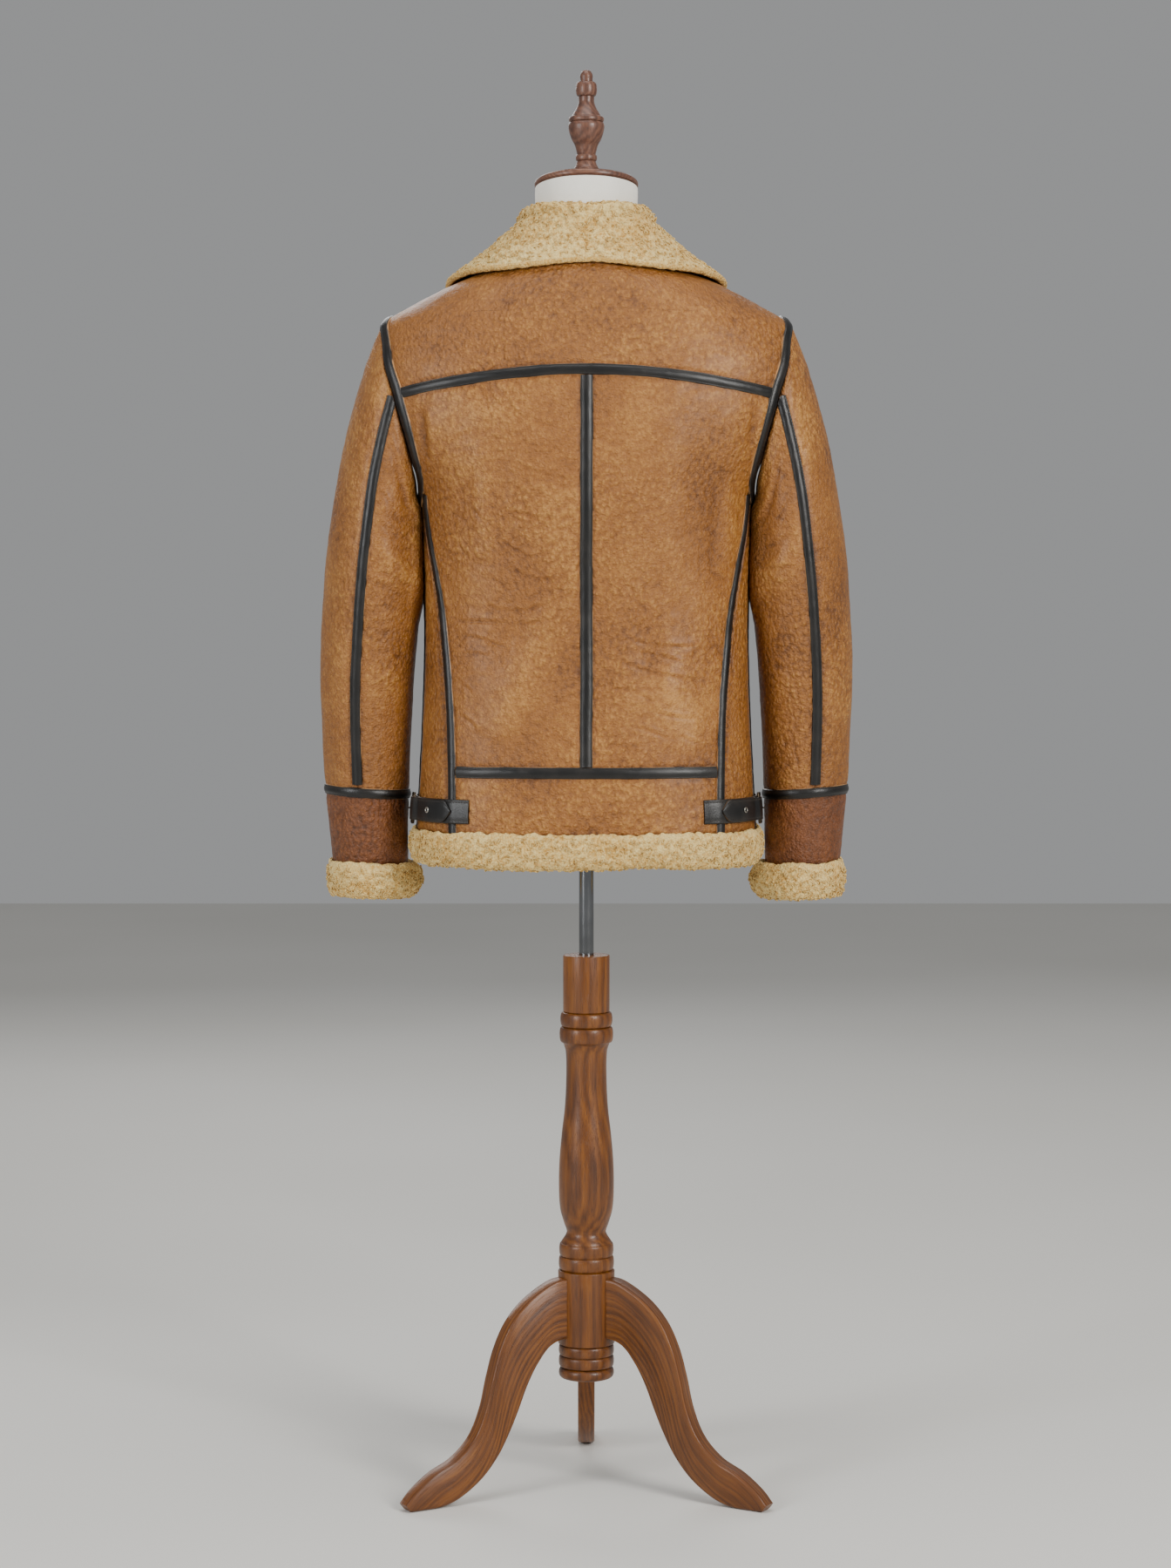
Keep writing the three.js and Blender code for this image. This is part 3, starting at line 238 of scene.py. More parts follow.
class Finish:
    """A material with one Principled shader. Settings that are the same all over go straight onto it."""

    def __init__(self, name, **constants):
        self.material = bpy.data.materials.new(name)
        self.material.use_nodes = True
        self.tree = self.material.node_tree
        self.shader = self.tree.nodes["Principled BSDF"]
        for key, value in constants.items():
            self.shader.inputs[key.replace("_", " ")].default_value = value

    def node(self, kind, settings, sockets, output=None):
        """A node of that kind: its settings first, or a colour ramp's stops, then values or wires by each
        socket's identifier."""
        made = self.tree.nodes.new(kind)
        for key, value in settings.items():
            if key == "stops":
                while len(made.color_ramp.elements) < len(value):
                    made.color_ramp.elements.new(0.5)
                for element, (place, colour) in zip(made.color_ramp.elements, value):
                    element.position = place
                    element.color = colour
            else:
                setattr(made, key, value)
        for key, value in sockets.items():
            target = next(socket for socket in made.inputs if socket.identifier == key)
            if isinstance(value, Wire):
                self.tree.links.new(value.socket, target)
            else:
                target.default_value = value
        outputs = [socket for socket in made.outputs if output is None or socket.identifier == output]
        return Wire(self, outputs[0])

    def place(self):
        """The place on the object, in metres."""
        return self.node("ShaderNodeTexCoord", {}, {}, "Object")

    def mark(self, name, output="Fac"):
        """A value or vector that was stored at the mesh's points."""
        return self.node("ShaderNodeAttribute", {"attribute_name": name}, {}, output)

    def stretched(self, vector, x, y, z):
        sockets = {"Vector": vector, "Vector_001": (x, y, z)}
        return self.node("ShaderNodeVectorMath", {"operation": "MULTIPLY"}, sockets, "Vector")

    def noise(self, vector, scale, detail=3, roughness=0.5, distortion=0.0):
        sockets = {"Vector": vector, "Scale": scale, "Detail": detail, "Roughness": roughness,
                   "Distortion": distortion}
        return self.node("ShaderNodeTexNoise", {}, sockets, "Fac")

    def cells(self, vector, scale, feature="F1", output="Distance", **more):
        sockets = {"Vector": vector, "Scale": scale, **more}
        return self.node("ShaderNodeTexVoronoi", {"feature": feature}, sockets, output)

    def blend(self, share, low, high, how="MIX"):
        """Colour low where share is 0 and colour high where it is 1."""
        settings = {"data_type": "RGBA", "blend_type": how}
        sockets = {"Factor_Float": share, "A_Color": low, "B_Color": high}
        return self.node("ShaderNodeMix", settings, sockets, "Result_Color")

    def bump(self, height, depth, under=None):
        """A normal from a height between 0 and 1 that stands for depth metres."""
        sockets = {"Height": height, "Distance": depth, "Strength": 1.0}
        if under is not None:
            sockets["Normal"] = under
        return self.node("ShaderNodeBump", {}, sockets, "Normal")

    def wear(self, **wires):
        """Joins what changes over the surface to the shader, and gives the material."""
        for key, wire in wires.items():
            self.tree.links.new(wire.socket, self.shader.inputs[key.replace("_", " ")])
        return self.material


def shade_of(red, green, blue):
    """A colour given as screen values from 0 to 255, in linear light."""
    value = np.array([red, green, blue]) / 255
    linear = np.where(value <= 0.04045, value / 12.92, ((value + 0.055) / 1.055) ** 2.4)
    return (*linear.tolist(), 1.0)


def wood(name, dark, middle, light, figure=60):
    """Varnished wood. Growth rings are bands of the distance from the heart, drawn out along the grain, and
    short dark pores run with them. The grain's own direction is the third number of the grain mark."""
    finish = Finish(name, Coat_Weight=0.2, Coat_Roughness=0.24, Specular_IOR_Level=0.4)
    grain = finish.mark("grain", "Vector")
    drawn = finish.stretched(grain, 1, 1, 0.11)
    sockets = {"Vector": drawn, "Scale": figure, "Distortion": 5.5, "Detail": 3, "Detail Scale": 1.6}
    settings = {"wave_type": "RINGS", "rings_direction": "Z"}
    rings = finish.node("ShaderNodeTexWave", settings, sockets, "Fac")
    streaks = finish.noise(finish.stretched(grain, 1, 1, 0.05), 210, 5, 0.65)
    pores = finish.noise(finish.stretched(grain, 1, 1, 0.028), 1500, 2, 0.6).step(0.56, 0.68)
    cloudy = finish.noise(grain, 14, 2)
    tone = rings * 0.26 + streaks * 0.66 + cloudy * 0.35 - 0.14
    base = finish.blend(tone.step(0.1, 0.62), dark, middle)
    base = finish.blend(tone.step(0.5, 0.95), base, light)
    base = finish.blend(pores * 0.55, base, dark)
    rough = 0.34 + streaks * 0.14 + pores * 0.12
    normal = finish.bump(streaks * 0.5 - pores * 0.5, 0.0003)
    return finish.wear(Base_Color=base, Roughness=rough, Normal=normal)


oak = wood("oak", shade_of(62, 29, 4), shade_of(108, 60, 12), shade_of(140, 86, 26))

COLUMN_BORE = 9
COLUMN_BORE_Z = 190
column_points, column_faces = turned(
    [(0, 125)],
    bead(125, 138.2, 25, 31.8),
    bead(138.6, 151.4, 29.4, 31.8),
    bead(151.8, 164, 29.4, 31.8),
    drum(165, 250, 32.5),
    bead(251, 266.4, 29.4, 31.8),
    bead(266.8, 281.5, 29.2, 31.2),
    vase([(282.5, 29), (287, 26), (294, 22.4), (303, 25.2), (320, 30), (345, 31.6), (375, 31), (408, 28.2),
          (440, 24.6), (480, 23), (503, 23.8), (512, 26.6)]),
    bead(513, 530.5, 28, 30.7),
    bead(531, 547.5, 26.6, 29.8),
    drum(548, 613, 26.6),
    [(COLUMN_BORE, 613), (COLUMN_BORE, COLUMN_BORE_Z), (0, COLUMN_BORE_Z)],
)
column = build("oak_column", column_points, column_faces, [oak], "stand",
               marks={"grain": (column_points + [11, 6, 0]) * MM}, crisp=50)
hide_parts("column")

# Legs: three cabriole legs sawn from 20 mm oak, their edges rounded over, each tenoned into the column's
# drum. The grain runs down the leg.
LEG = Table(
    "row top_out top_z low_out low_z",
    (0, 20, 244, 20, 178),
    (1, 46, 241, 50, 169),
    (2, 79, 223, 68, 150),
    (3, 102, 200, 82, 126),
    (4, 117, 172, 94, 98),
    (5, 127, 140, 106, 73),
    (6, 136, 104, 121, 48),
    (7, 150, 74, 142, 25),
    (8, 173, 52, 170, 7),
    (9, 201, 38.5, 196, 0),
    (10, 224, 22, 220, 0),
    (11, 237, 8, 231, 0),
)
LEG_HALF = 10
LEG_ROUND = 3.4
LEG_ROOT = 32.8


def tube(rings, closed=False):
    """Points and faces of a section carried along: rings of points joined in turn, then closed on itself
    or capped by fans round the middle of each end ring."""
    count, around = rings.shape[:2]
    points = rings.reshape(-1, 3)
    faces = [net(count, around, wrap_columns=closed, wrap_rows=True)]
    if closed:
        return points, faces
    last = (count - 1) * around + np.arange(around)
    points = np.vstack([points, rings[0].mean(0), rings[-1].mean(0)])
    return points, [*faces, fan(np.arange(around), len(points) - 2), fan(last[::-1], len(points) - 1)]


def leg(name, node, turn):
    """Rings of a rounded rectangle between the leg's top and under edges, turned about the stand's axis.
    The first ring follows the column's round face."""
    row = np.linspace(0.5, 11, 96)[:, None]
    top = np.stack([LEG("top_out", row), LEG("top_z", row)], -1)
    low = np.stack([LEG("low_out", row), np.maximum(LEG("low_z", row), 0)], -1)
    height = np.linalg.norm(low - top, axis=-1, keepdims=True)
    quarter = np.radians(np.linspace(0, 90, 5))
    corner = np.concatenate([quarter, quarter + np.pi / 2, quarter + np.pi, quarter + 1.5 * np.pi])
    round_over = np.minimum(LEG_ROUND, height[..., 0] * 0.45)
    side = np.sign(np.cos(corner + 1e-9)) * (LEG_HALF - LEG_ROUND) + np.cos(corner) * LEG_ROUND
    side = np.tile(side, (len(row), 1))
    from_top = np.where(np.sin(corner - 1e-9) > 0, height[..., 0] - round_over, round_over)
    from_top = from_top + np.sin(corner) * round_over
    flat = top + (low - top) / height * from_top[..., None]
    out, z = flat[..., 0], flat[..., 1]
    out[0] = np.sqrt(LEG_ROOT**2 - side[0] ** 2)
    away = math.radians(turn)
    x = out * math.sin(away) + side * math.cos(away)
    y = out * math.cos(away) - side * math.sin(away)
    middle = ((top + low) / 2)[:, 0]
    run = np.append(0, np.cumsum(np.linalg.norm(np.diff(middle, axis=0), axis=1)))
    grain = np.stack([side + turn, from_top, np.tile(run[:, None], (1, side.shape[1]))], -1)
    points, faces = tube(np.stack([x, y, z], -1))
    ends = [grain[0].mean(0), grain[-1].mean(0)]
    marks = {"grain": np.vstack([grain.reshape(-1, 3), ends]) * MM}
    piece = build(name, points, faces, [oak], "stand", marks=marks, crisp=50)
    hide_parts(node)


leg("oak_leg_left", "leg_left", 60)
leg("oak_leg_right", "leg_right", -60)
leg("oak_leg_front", "leg_front", 180)

# Pole: a chromed steel tube that slides in the column and turns with the form.
POLE_RADIUS = 8.4
pole_points, pole_faces = turned([(0, 293)], drum(293, 899, POLE_RADIUS, 0.8), [(0, 899)], segments=48)
chrome = Finish("chrome", Metallic=1.0)
scratches = chrome.noise(chrome.stretched(chrome.place(), 1, 1, 0.06), 900, 3)
smudges = chrome.noise(chrome.place(), 38, 2)
chrome = chrome.wear(
    Base_Color=chrome.blend(smudges, shade_of(128, 130, 133), shade_of(160, 162, 164)),
    Roughness=0.08 + scratches * 0.1 + smudges * 0.06,
)
pole = build("chrome_pole", pole_points, pole_faces, [chrome], "mast", crisp=50)
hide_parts("pole")

# Dress form: a hard torso with no arms, head or legs, covered in off-white jersey drawn smooth over it.
# The neck is cut higher at the back.
FORM = Table(
    "z half back front power",
    (768, 158, 94, 96, 2.3),
    (860, 162, 96, 100, 2.3),
    (980, 160, 95, 102, 2.3),
    (1100, 165, 101, 112, 2.25),
    (1225, 180, 101, 110, 2.2),
    (1290, 196, 96, 102, 2.2),
    (1325, 197, 91, 92, 2.15),
    (1341.4, 188.8, 87, 85, 2.1),
    (1360.1, 153.7, 82, 74, 2.05),
    (1377, 114, 74, 62, 2),
    (1390, 81, 61.5, 53, 2),
    (1404, 60, 57, 53, 2),
    (1480, 57.8, 57, 55, 2),
)
NECK_TILT = math.radians(9.5)
NECK_Z = 1480


def section(table, angle, z, swell=0.0):
    """The point of a superellipse section at a polar angle, in degrees from the back towards the wearer's
    left: r = ((|sin| / half)^n + (|cos| / depth)^n)^(-1/n), plus the swell, with its own depth at the back
    and at the front."""
    s = np.sin(np.radians(angle))
    c = np.cos(np.radians(angle))
    n = table("power", z)
    depth = np.where(c >= 0, table("back", z), table("front", z))
    reach = (np.abs(s) / table("half", z)) ** n + (np.abs(c) / depth) ** n
    r = reach ** (-1 / n) + swell
    return np.stack([r * s, r * c, z + 0 * r], -1)


def torso():
    """Rings of the form's sections. Above the shoulders each ring tips until it lies in the neck's cut."""
    z = np.linspace(768, NECK_Z, 150)[:, None]
    angle = np.linspace(0, 360, 128, endpoint=False)[None, :]
    rings = section(FORM, angle, z)
    share = np.clip((z - 1404) / (NECK_Z - 1404), 0, 1)
    rings[..., 2] += share * math.tan(NECK_TILT) * rings[..., 1]
    return tube(rings)


jersey = Finish("jersey", Sheen_Weight=0.25, Sheen_Roughness=0.5, Specular_IOR_Level=0.25)
knit = jersey.noise(jersey.stretched(jersey.place(), 1, 1, 0.45), 1400, 2)
slub = jersey.noise(jersey.place(), 60, 3)
jersey = jersey.wear(
    Base_Color=jersey.blend(slub, shade_of(224, 221, 210), shade_of(236, 234, 226)),
    Roughness=0.8 + knit * 0.1,
    Normal=jersey.bump(knit, 0.0003),
)
form_points, form_faces = torso()
form = build("jersey_form", form_points, form_faces, [jersey], "figure", crisp=50)
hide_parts("dress_form")

# Neck cap and finial: a turned disc with a moulded rim on the neck's slanting cut, and an urn-shaped
# finial above it, both in dark varnished wood.
dark_wood = wood("dark_wood", shade_of(62, 38, 30), shade_of(104, 68, 52), shade_of(138, 98, 76), 90)
cap_points, cap_faces = turned(
    [(0, 0.4), (56.5, 0.4), (57.8, 1.2)],
    bead(2, 7.4, 57, 58.4),
    [(56, 8.4), (48, 9.9), (40, 11), (18, 12.4), (0, 12.6)],
)
cap_turn = np.array(
    [[1, 0, 0], [0, math.cos(NECK_TILT), -math.sin(NECK_TILT)], [0, math.sin(NECK_TILT), math.cos(NECK_TILT)]]
)
cap_grain = cap_points[:, [2, 1, 0]] * MM + [0.02, 0.03, 0]
cap_points = cap_points @ cap_turn.T + [0, 0, NECK_Z]
cap = build("wood_cap", cap_points, cap_faces, [dark_wood], "figure",
            marks={"grain": cap_grain}, crisp=50)
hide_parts("neck_cap")

finial_points, finial_faces = turned(
    [(0, 1492)],
    drum(1492, 1503, 14.4, 0.8),
    vase([(1503.4, 13.8), (1507, 11.8), (1511, 10.6)], 9),
    bead(1511.4, 1518.4, 10.2, 12),
    vase(
        [(1519, 10.4), (1523, 11.4), (1529, 13.1), (1536, 16.8), (1544, 19.4), (1551, 20.3), (1554.6, 19)],
        30,
    ),
    bead(1555, 1560.6, 17.8, 19.8),
    vase([(1561, 16.8), (1565, 14.4), (1570.5, 11.2), (1577, 8.8), (1583, 8.8)], 24),
    bead(1583.5, 1599.5, 8.6, 11.9),
    vase([(1600, 7), (1603, 6.9), (1606, 7.2), (1609.5, 6.2), (1612, 4.2), (1613, 1.2)], 16),
    [(0, 1613.2)],
    segments=72,
)
finial = build("wood_finial", finial_points, finial_faces, [dark_wood], "figure",
               marks={"grain": (finial_points + [7, 4, 0]) * MM}, crisp=50)
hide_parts("finial")

# Leather panels of the body: shearling with its leather side out, about 9 mm thick with the clipped wool
# inside. Each panel is cut between its seams from one body surface, sinks a little under the bindings and
# puckers beside them. The creases are placed one by one.
BODY = Table(
    "z half back front power",
    (715, 193, 122, 128, 2.5),
    (757, 192, 121, 127, 2.5),
    (827, 188, 117, 124, 2.45),
    (900, 184.5, 113.5, 122, 2.4),
    (980, 182.5, 112, 122, 2.35),
    (1050, 184.2, 115, 126, 2.3),
    (1095, 186, 118.5, 130, 2.3),
    (1128, 189, 120.5, 132, 2.3),
    (1150, 195.5, 121, 133, 2.3),
    (1191, 219.5, 121, 132, 2.3),
    (1223, 235.4, 120, 130, 2.3),
    (1250, 243.5, 118, 127, 2.3),
    (1280, 247.5, 114.5, 122, 2.3),
    (1310, 239, 109, 114, 2.25),
    (1329, 229, 105, 107, 2.2),
    (1350, 194, 99, 96, 2.15),
    (1369, 158, 92, 84, 2.1),
    (1386, 118, 84, 70, 2.05),
    (1402, 80, 71, 54, 2),
)
# Soft folds, the same on both sides: angle, height, how far the middle stands out, and half extents
FOLDS = (
    (37, 1185, 2.6, 17, 85),
    (0, 1030, -3, 10, 95),
    (60, 1195, 2.2, 5, 50),
    (34, 985, -2, 12, 36),
    (44, 930, 2.2, 14, 30),
    (22, 890, 1.8, 12, 34),
    (142, 1185, 3, 18, 80),
    (120, 985, -2, 16, 40),
)
PRINCESS = Table(
    "z x",
    (757, 150),
    (827, 150.5),
    (900, 152.5),
    (960, 157),
    (1000, 161),
    (1045, 168),
    (1095, 177.5),
    (1141.5, 182),
)
HEM_Z = 757
HEM_SEAM_Z = 827
YOKE_CENTRE_Z = 1272
NECKLINE_Z = 1402
NECKLINE_FRONT_Z = 1335
ZIP_HALF = 9.2
BODY_WALL = 9
SEAM_GAP = 0.25
SINK = 0.75
# Creases on the back and the front: distance from the middle and height of both ends, how far the middle
# of the line bows, half width and depth. A negative depth is a ridge.
BACK_CREASES = (
    (120, 1195, 116, 1062, 3, 15, -1.7),
    (37, 1024, 104, 863, 8, 21, -2.0),
    (84, 1090, 46, 1020, 6, 17, 1.2),
    (87, 1235, 31, 1209, -5, 1.7, 0.75),
    (77, 1198, 34, 1186, -3, 1.8, 0.8),
    (84, 1173, 14, 1151, -4, 1.7, 0.85),
    (90, 1148, 60, 1131, 2, 1.6, 0.7),
    (93, 1122, 27, 1109, -5, 2, 0.95),
    (97, 1112, 47, 1093, 3, 1.7, 0.8),
    (100, 1090, 54, 1064, -4, 1.8, 0.9),
    (87, 1061, 60, 1041, -3, 2.2, 1.2),
    (62, 1042, 21, 1050, -3, 2, 1.2),
    (113, 1048, 83, 1022, 3, 1.8, 0.8),
    (110, 1016, 95, 1007, -2, 2, 0.9),
    (97, 1008, 37, 1016, -4, 2.1, 1.3),
    (143, 993, 83, 992, 2, 2.1, 1.3),
    (86, 992, 44, 998, -2, 1.9, 1.1),
    (140, 978, 93, 966, 3, 1.8, 0.8),
    (113, 977, 90, 967, -2, 1.6, 0.7),
    (143, 958, 107, 956, 2, 1.7, 0.75),
    (144, 926, 127, 916, 2, 1.7, 0.7),
    (143, 890, 122, 876, 2, 1.8, 0.95),
    (167, 1088, 140, 1091, 2, 1.8, 0.8),
    (166, 1081, 146, 1070, -2, 1.7, 0.8),
    (166, 1069, 140, 1058, 2, 1.8, 0.8),
    (133, 1125, 113, 1105, 2, 1.7, 0.6),
    (143, 1083, 126, 1064, -2, 1.7, 0.6),
    (-98, 1216, -96, 1020, -4, 17, -0.95),
    (-146, 1160, -140, 1050, 3, 11, 1.9),
    (-84, 945, -132, 850, -8, 24, -1.6),
    (-60, 1000, -66, 930, 4, 16, 0.9),
    (-125, 1051, -160, 1037, 3, 1.9, 0.95),
    (-52, 974, -122, 967, -3, 1.9, 0.95),
    (-58, 961, -106, 948, 2, 1.8, 0.8),
    (-38, 951, -126, 931, -5, 2, 1.0),
    (-96, 931, -128, 932, -3, 1.7, 0.8),
    (-36, 1041, -60, 1015, 3, 1.7, 0.7),
    (-104, 1135, -130, 1128, 2, 1.6, 0.6),
    (-30, 921, -74, 906, 3, 1.8, 0.75),
    (-66, 899, -120, 887, -3, 1.8, 0.8),
    (-100, 918, -142, 907, 2, 1.7, 0.7),
    (-44, 880, -92, 864, 2, 1.8, 0.75),
    (-104, 868, -140, 856, -2, 1.7, 0.7),
    (-24, 860, -60, 848, 2, 1.6, 0.6),
    (184, 1232, 178, 1176, 3, 4.5, 2.2),
    (-190, 1236, -181, 1180, -3, 4.5, 2.2),
    (150, 1258, 92, 1244, 4, 7, 0.8),
    (-150, 1256, -100, 1246, -4, 7, 0.8),
    (172, 1040, 158, 985, 4, 5, 1.0),
    (-172, 1030, -160, 970, -4, 5, 1.0),
)
FRONT_CREASES = (
    (60, 1210, 92, 1120, 6, 18, -1.6),
    (150, 1190, 100, 1130, 5, 9, 1.4),
    (-150, 1186, -96, 1120, -5, 9, 1.4),
    (140, 1020, 70, 1002, 5, 2.4, 1.1),
    (-144, 1034, -60, 1010, -5, 2.4, 1.1),
    (120, 985, 48, 978, -4, 2.1, 1.0),
    (-110, 990, -52, 970, 4, 2.1, 1.0),
    (150, 948, 90, 936, 3, 2.2, 0.9),
    (-148, 955, -88, 948, 3, 2.2, 0.9),
    (100, 900, 60, 830, 8, 20, -1.5),
    (-96, 905, -66, 832, -8, 20, -1.5),
    (130, 1090, 90, 1076, 4, 1.9, 0.8),
    (-132, 1100, -84, 1088, -4, 1.9, 0.8),
    (80, 1290, 140, 1262, 6, 12, 0.9),
    (-80, 1290, -140, 1262, -6, 12, 0.9),
)


def body_point(angle, z):
    """The body's superellipse section, swelled by its soft folds, each a bell over angle and height."""
    swell = 0.0
    for fold_angle, fold_z, out, wide, tall in FOLDS:
        across = (np.abs(angle) - fold_angle) / wide
        swell = swell + out * np.exp(-(across**2) - ((z - fold_z) / tall) ** 2)
    return section(BODY, angle, z, swell)


def unit(vectors):
    """Each vector divided by its own length."""
    return vectors / np.linalg.norm(vectors, axis=-1, keepdims=True)


def slopes_of(point, u, v, step_u, step_v):
    """The steps of a surface for one unit of u and of v, and its outward normal, by central differences."""
    along_u = (point(u + step_u, v) - point(u - step_u, v)) / (2 * step_u)
    along_v = (point(u, v + step_v) - point(u, v - step_v)) / (2 * step_v)
    return along_u, along_v, unit(np.cross(along_v, along_u))


def body_slopes(angle, z):
    """The body's steps and outward normal at an angle and a height."""
    return slopes_of(body_point, angle, z, 0.2, 0.5)


def angle_at_x(x, z, sign=1):
    """Polar angle of the section's point that lies x to the side, at the back (sign 1) or the front."""
    n = BODY("power", z)
    depth = BODY("back", z) if sign > 0 else BODY("front", z)
    y = depth * (1 - (np.abs(x) / BODY("half", z)) ** n) ** (1 / n)
    return np.degrees(np.arctan2(x, sign * y))


def angle_at_y(y, z):
    """Polar angle of the section's point that lies y behind the axis, on the wearer's left."""
    n = BODY("power", z)
    depth = np.where(y >= 0, BODY("back", z), BODY("front", z))
    x = BODY("half", z) * (1 - np.minimum(np.abs(y) / depth, 1) ** n) ** (1 / n)
    return np.degrees(np.arctan2(x, y))


ARC_ANGLES = np.linspace(0, 180, 721)
ARC_LENGTHS = np.append(
    0, np.cumsum(np.linalg.norm(np.diff(body_point(ARC_ANGLES, 1050.0), axis=0), axis=1))
)


def round_body(angle):
    """Distance round the body from the centre back, measured at the chest's height."""
    return np.sign(angle) * np.interp(np.abs(angle), ARC_ANGLES, ARC_LENGTHS)


def drift(x, y, size, seed):
    """Smooth random heights from -1 to 1: numbers drawn on a square lattice of that size, eased between."""
    lattice = np.random.default_rng(seed).uniform(-1, 1, (64, 64))
    gx, gy = x / size, y / size
    i, j = np.floor(gx).astype(int), np.floor(gy).astype(int)
    fx, fy = gx - i, gy - j
    fx, fy = fx * fx * (3 - 2 * fx), fy * fy * (3 - 2 * fy)
    corner = [[lattice[(i + a) % 64, (j + b) % 64] for b in (0, 1)] for a in (0, 1)]
    low = corner[0][0] * (1 - fx) + corner[1][0] * fx
    high = corner[0][1] * (1 - fx) + corner[1][1] * fx
    return low * (1 - fy) + high * fy


def crease(x, y, start, end, bow, wide, deep):
    """A trough along a bowed line, exp(-(distance / wide)^2) deep, with a lower ridge along one side of it.
    Both fade towards the line's ends."""
    run = np.subtract(end, start)
    length = np.hypot(*run)
    along = ((x - start[0]) * run[0] + (y - start[1]) * run[1]) / length**2
    away = ((x - start[0]) * run[1] - (y - start[1]) * run[0]) / length
    inside = np.clip(4 * along * (1 - along), 0, 1)
    away = away - bow * inside
    trough = np.exp(-((away / wide) ** 2))
    ridge = 0.6 * np.exp(-(((away - 1.8 * wide) / (1.2 * wide)) ** 2))
    return 1.35 * deep * (ridge - trough) * inside**0.6


def ends_of(x0, z0, x1, z1, sign):
    """Both ends of a crease as lengths round the body and heights."""
    return [(round_body(angle_at_x(x, z, sign)), z) for x, z in ((x0, z0), (x1, z1))]


def body_relief(angle, z):
    """Height of the leather over the plain body: all creases, and a soft unevenness of two sizes."""
    arc = round_body(angle)
    rough = 0.35 + 0.65 * ease(0.5 + drift(arc + 0.4 * z, z, 80, 5))
    height = 0.45 * drift(arc, z, 26, 3) + 0.25 * drift(arc, z, 10, 4)
    height = height + 0.3 * rough * drift(arc * 0.8 + 0.5 * z, z - 0.35 * arc, 5.2, 6)
    for sign, rows in ((1, BACK_CREASES), (-1, FRONT_CREASES)):
        for x0, z0, x1, z1, bow, wide, deep in rows:
            height = height + crease(arc, z, *ends_of(x0, z0, x1, z1, sign), bow, wide, deep)
    return height


ARMHOLE_MIDDLE = 1228.5
ARMHOLE_HALF = 100.5
ARMHOLE_BACK = 66
ARMHOLE_FRONT = 60
SLEEVE_BACK_SEAM = 80


def places(angle, z):
    """Pairs of an angle and a height, one for each point of a line."""
    return np.stack(np.broadcast_arrays(np.asarray(angle, float), z), -1)


def armhole(start, end, count=80):
    """The armhole's edge between two turns, from the shoulder (0) round the back to the underarm (180): an
    oval in the side view."""
    turn = np.radians(np.linspace(start, end, count))
    z = ARMHOLE_MIDDLE + ARMHOLE_HALF * np.cos(turn)
    y = np.where(np.sin(turn) >= 0, ARMHOLE_BACK, ARMHOLE_FRONT) * np.sin(turn)
    return places(angle_at_y(y, z), z)


def princess(low, high, count=80):
    """The princess seam between two heights: its distance from the middle back, turned into an angle."""
    z = np.linspace(low, high, count)
    return places(angle_at_x(PRINCESS("x", z), z), z)


def neckline_z(angle):
    """Level round the back, then down to the zip as a power of a sine."""
    share = np.maximum((np.abs(angle) - 90) / 90, 0)
    return NECKLINE_Z - (NECKLINE_Z - NECKLINE_FRONT_Z) * np.sin(share * np.pi / 2) ** 1.6


def yoke_seam(start, end, count=80):
    """Level at the centre back and curving down to the armhole, as a power of the distance."""
    side_angle, side_z = armhole(SLEEVE_BACK_SEAM, SLEEVE_BACK_SEAM, 1)[0]
    u = np.linspace(start, end, count)
    return places(u * side_angle, YOKE_CENTRE_Z + (side_z - YOKE_CENTRE_Z) * np.abs(u) ** 2.6)


def level(start, end, z, count=80):
    """A line at one height between two angles."""
    return places(np.linspace(start, end, count), z)


def upright(angle, low, high, count=80):
    """A line at one angle between two heights."""
    return places(angle, np.linspace(low, high, count))


def mirrored(line):
    """The same line on the other side: its angles with their sign changed."""
    return line * [-1, 1]


def evenly(line, count):
    """The same line with its points an even distance apart on the body."""
    gone = np.linalg.norm(np.diff(np.stack([round_body(line[:, 0]), line[:, 1]], -1), axis=0), axis=1)
    run = np.append(0, np.cumsum(gone)) / gone.sum()
    share = np.linspace(0, 1, count)
    return np.stack([np.interp(share, run, line[:, k]) for k in (0, 1)], -1)


def span(line):
    """Length of a line on the body: the sum of its steps."""
    return np.linalg.norm(np.diff(body_point(line[:, 0], line[:, 1]), axis=0), axis=1).sum()


def coons(left, right, bottom, top):
    """The patch between four edges: the blend across plus the blend upwards, less that of the corners."""
    u = np.linspace(0, 1, len(bottom))[:, None, None]
    v = np.linspace(0, 1, len(left))[None, :, None]
    across = left[None] * (1 - u) + right[None] * u
    upward = bottom[:, None] * (1 - v) + top[:, None] * v
    low = left[0] * (1 - u) + right[0] * u
    high = left[-1] * (1 - u) + right[-1] * u
    return across + upward - low * (1 - v) - high * v


def drawn_in(grid, lengths):
    """The same grid with its four outer lines moved in by the seam gap."""
    grid = grid.copy()
    for k, length in enumerate(lengths):
        share = SEAM_GAP * (grid.shape[k] - 1) / length
        lines = np.moveaxis(grid, k, 0)
        lines[0] += (lines[1] - lines[0]) * share
        lines[-1] += (lines[-2] - lines[-1]) * share
    return grid


def ease(x):
    x = np.clip(x, 0, 1)
    return x * x * (3 - 2 * x)


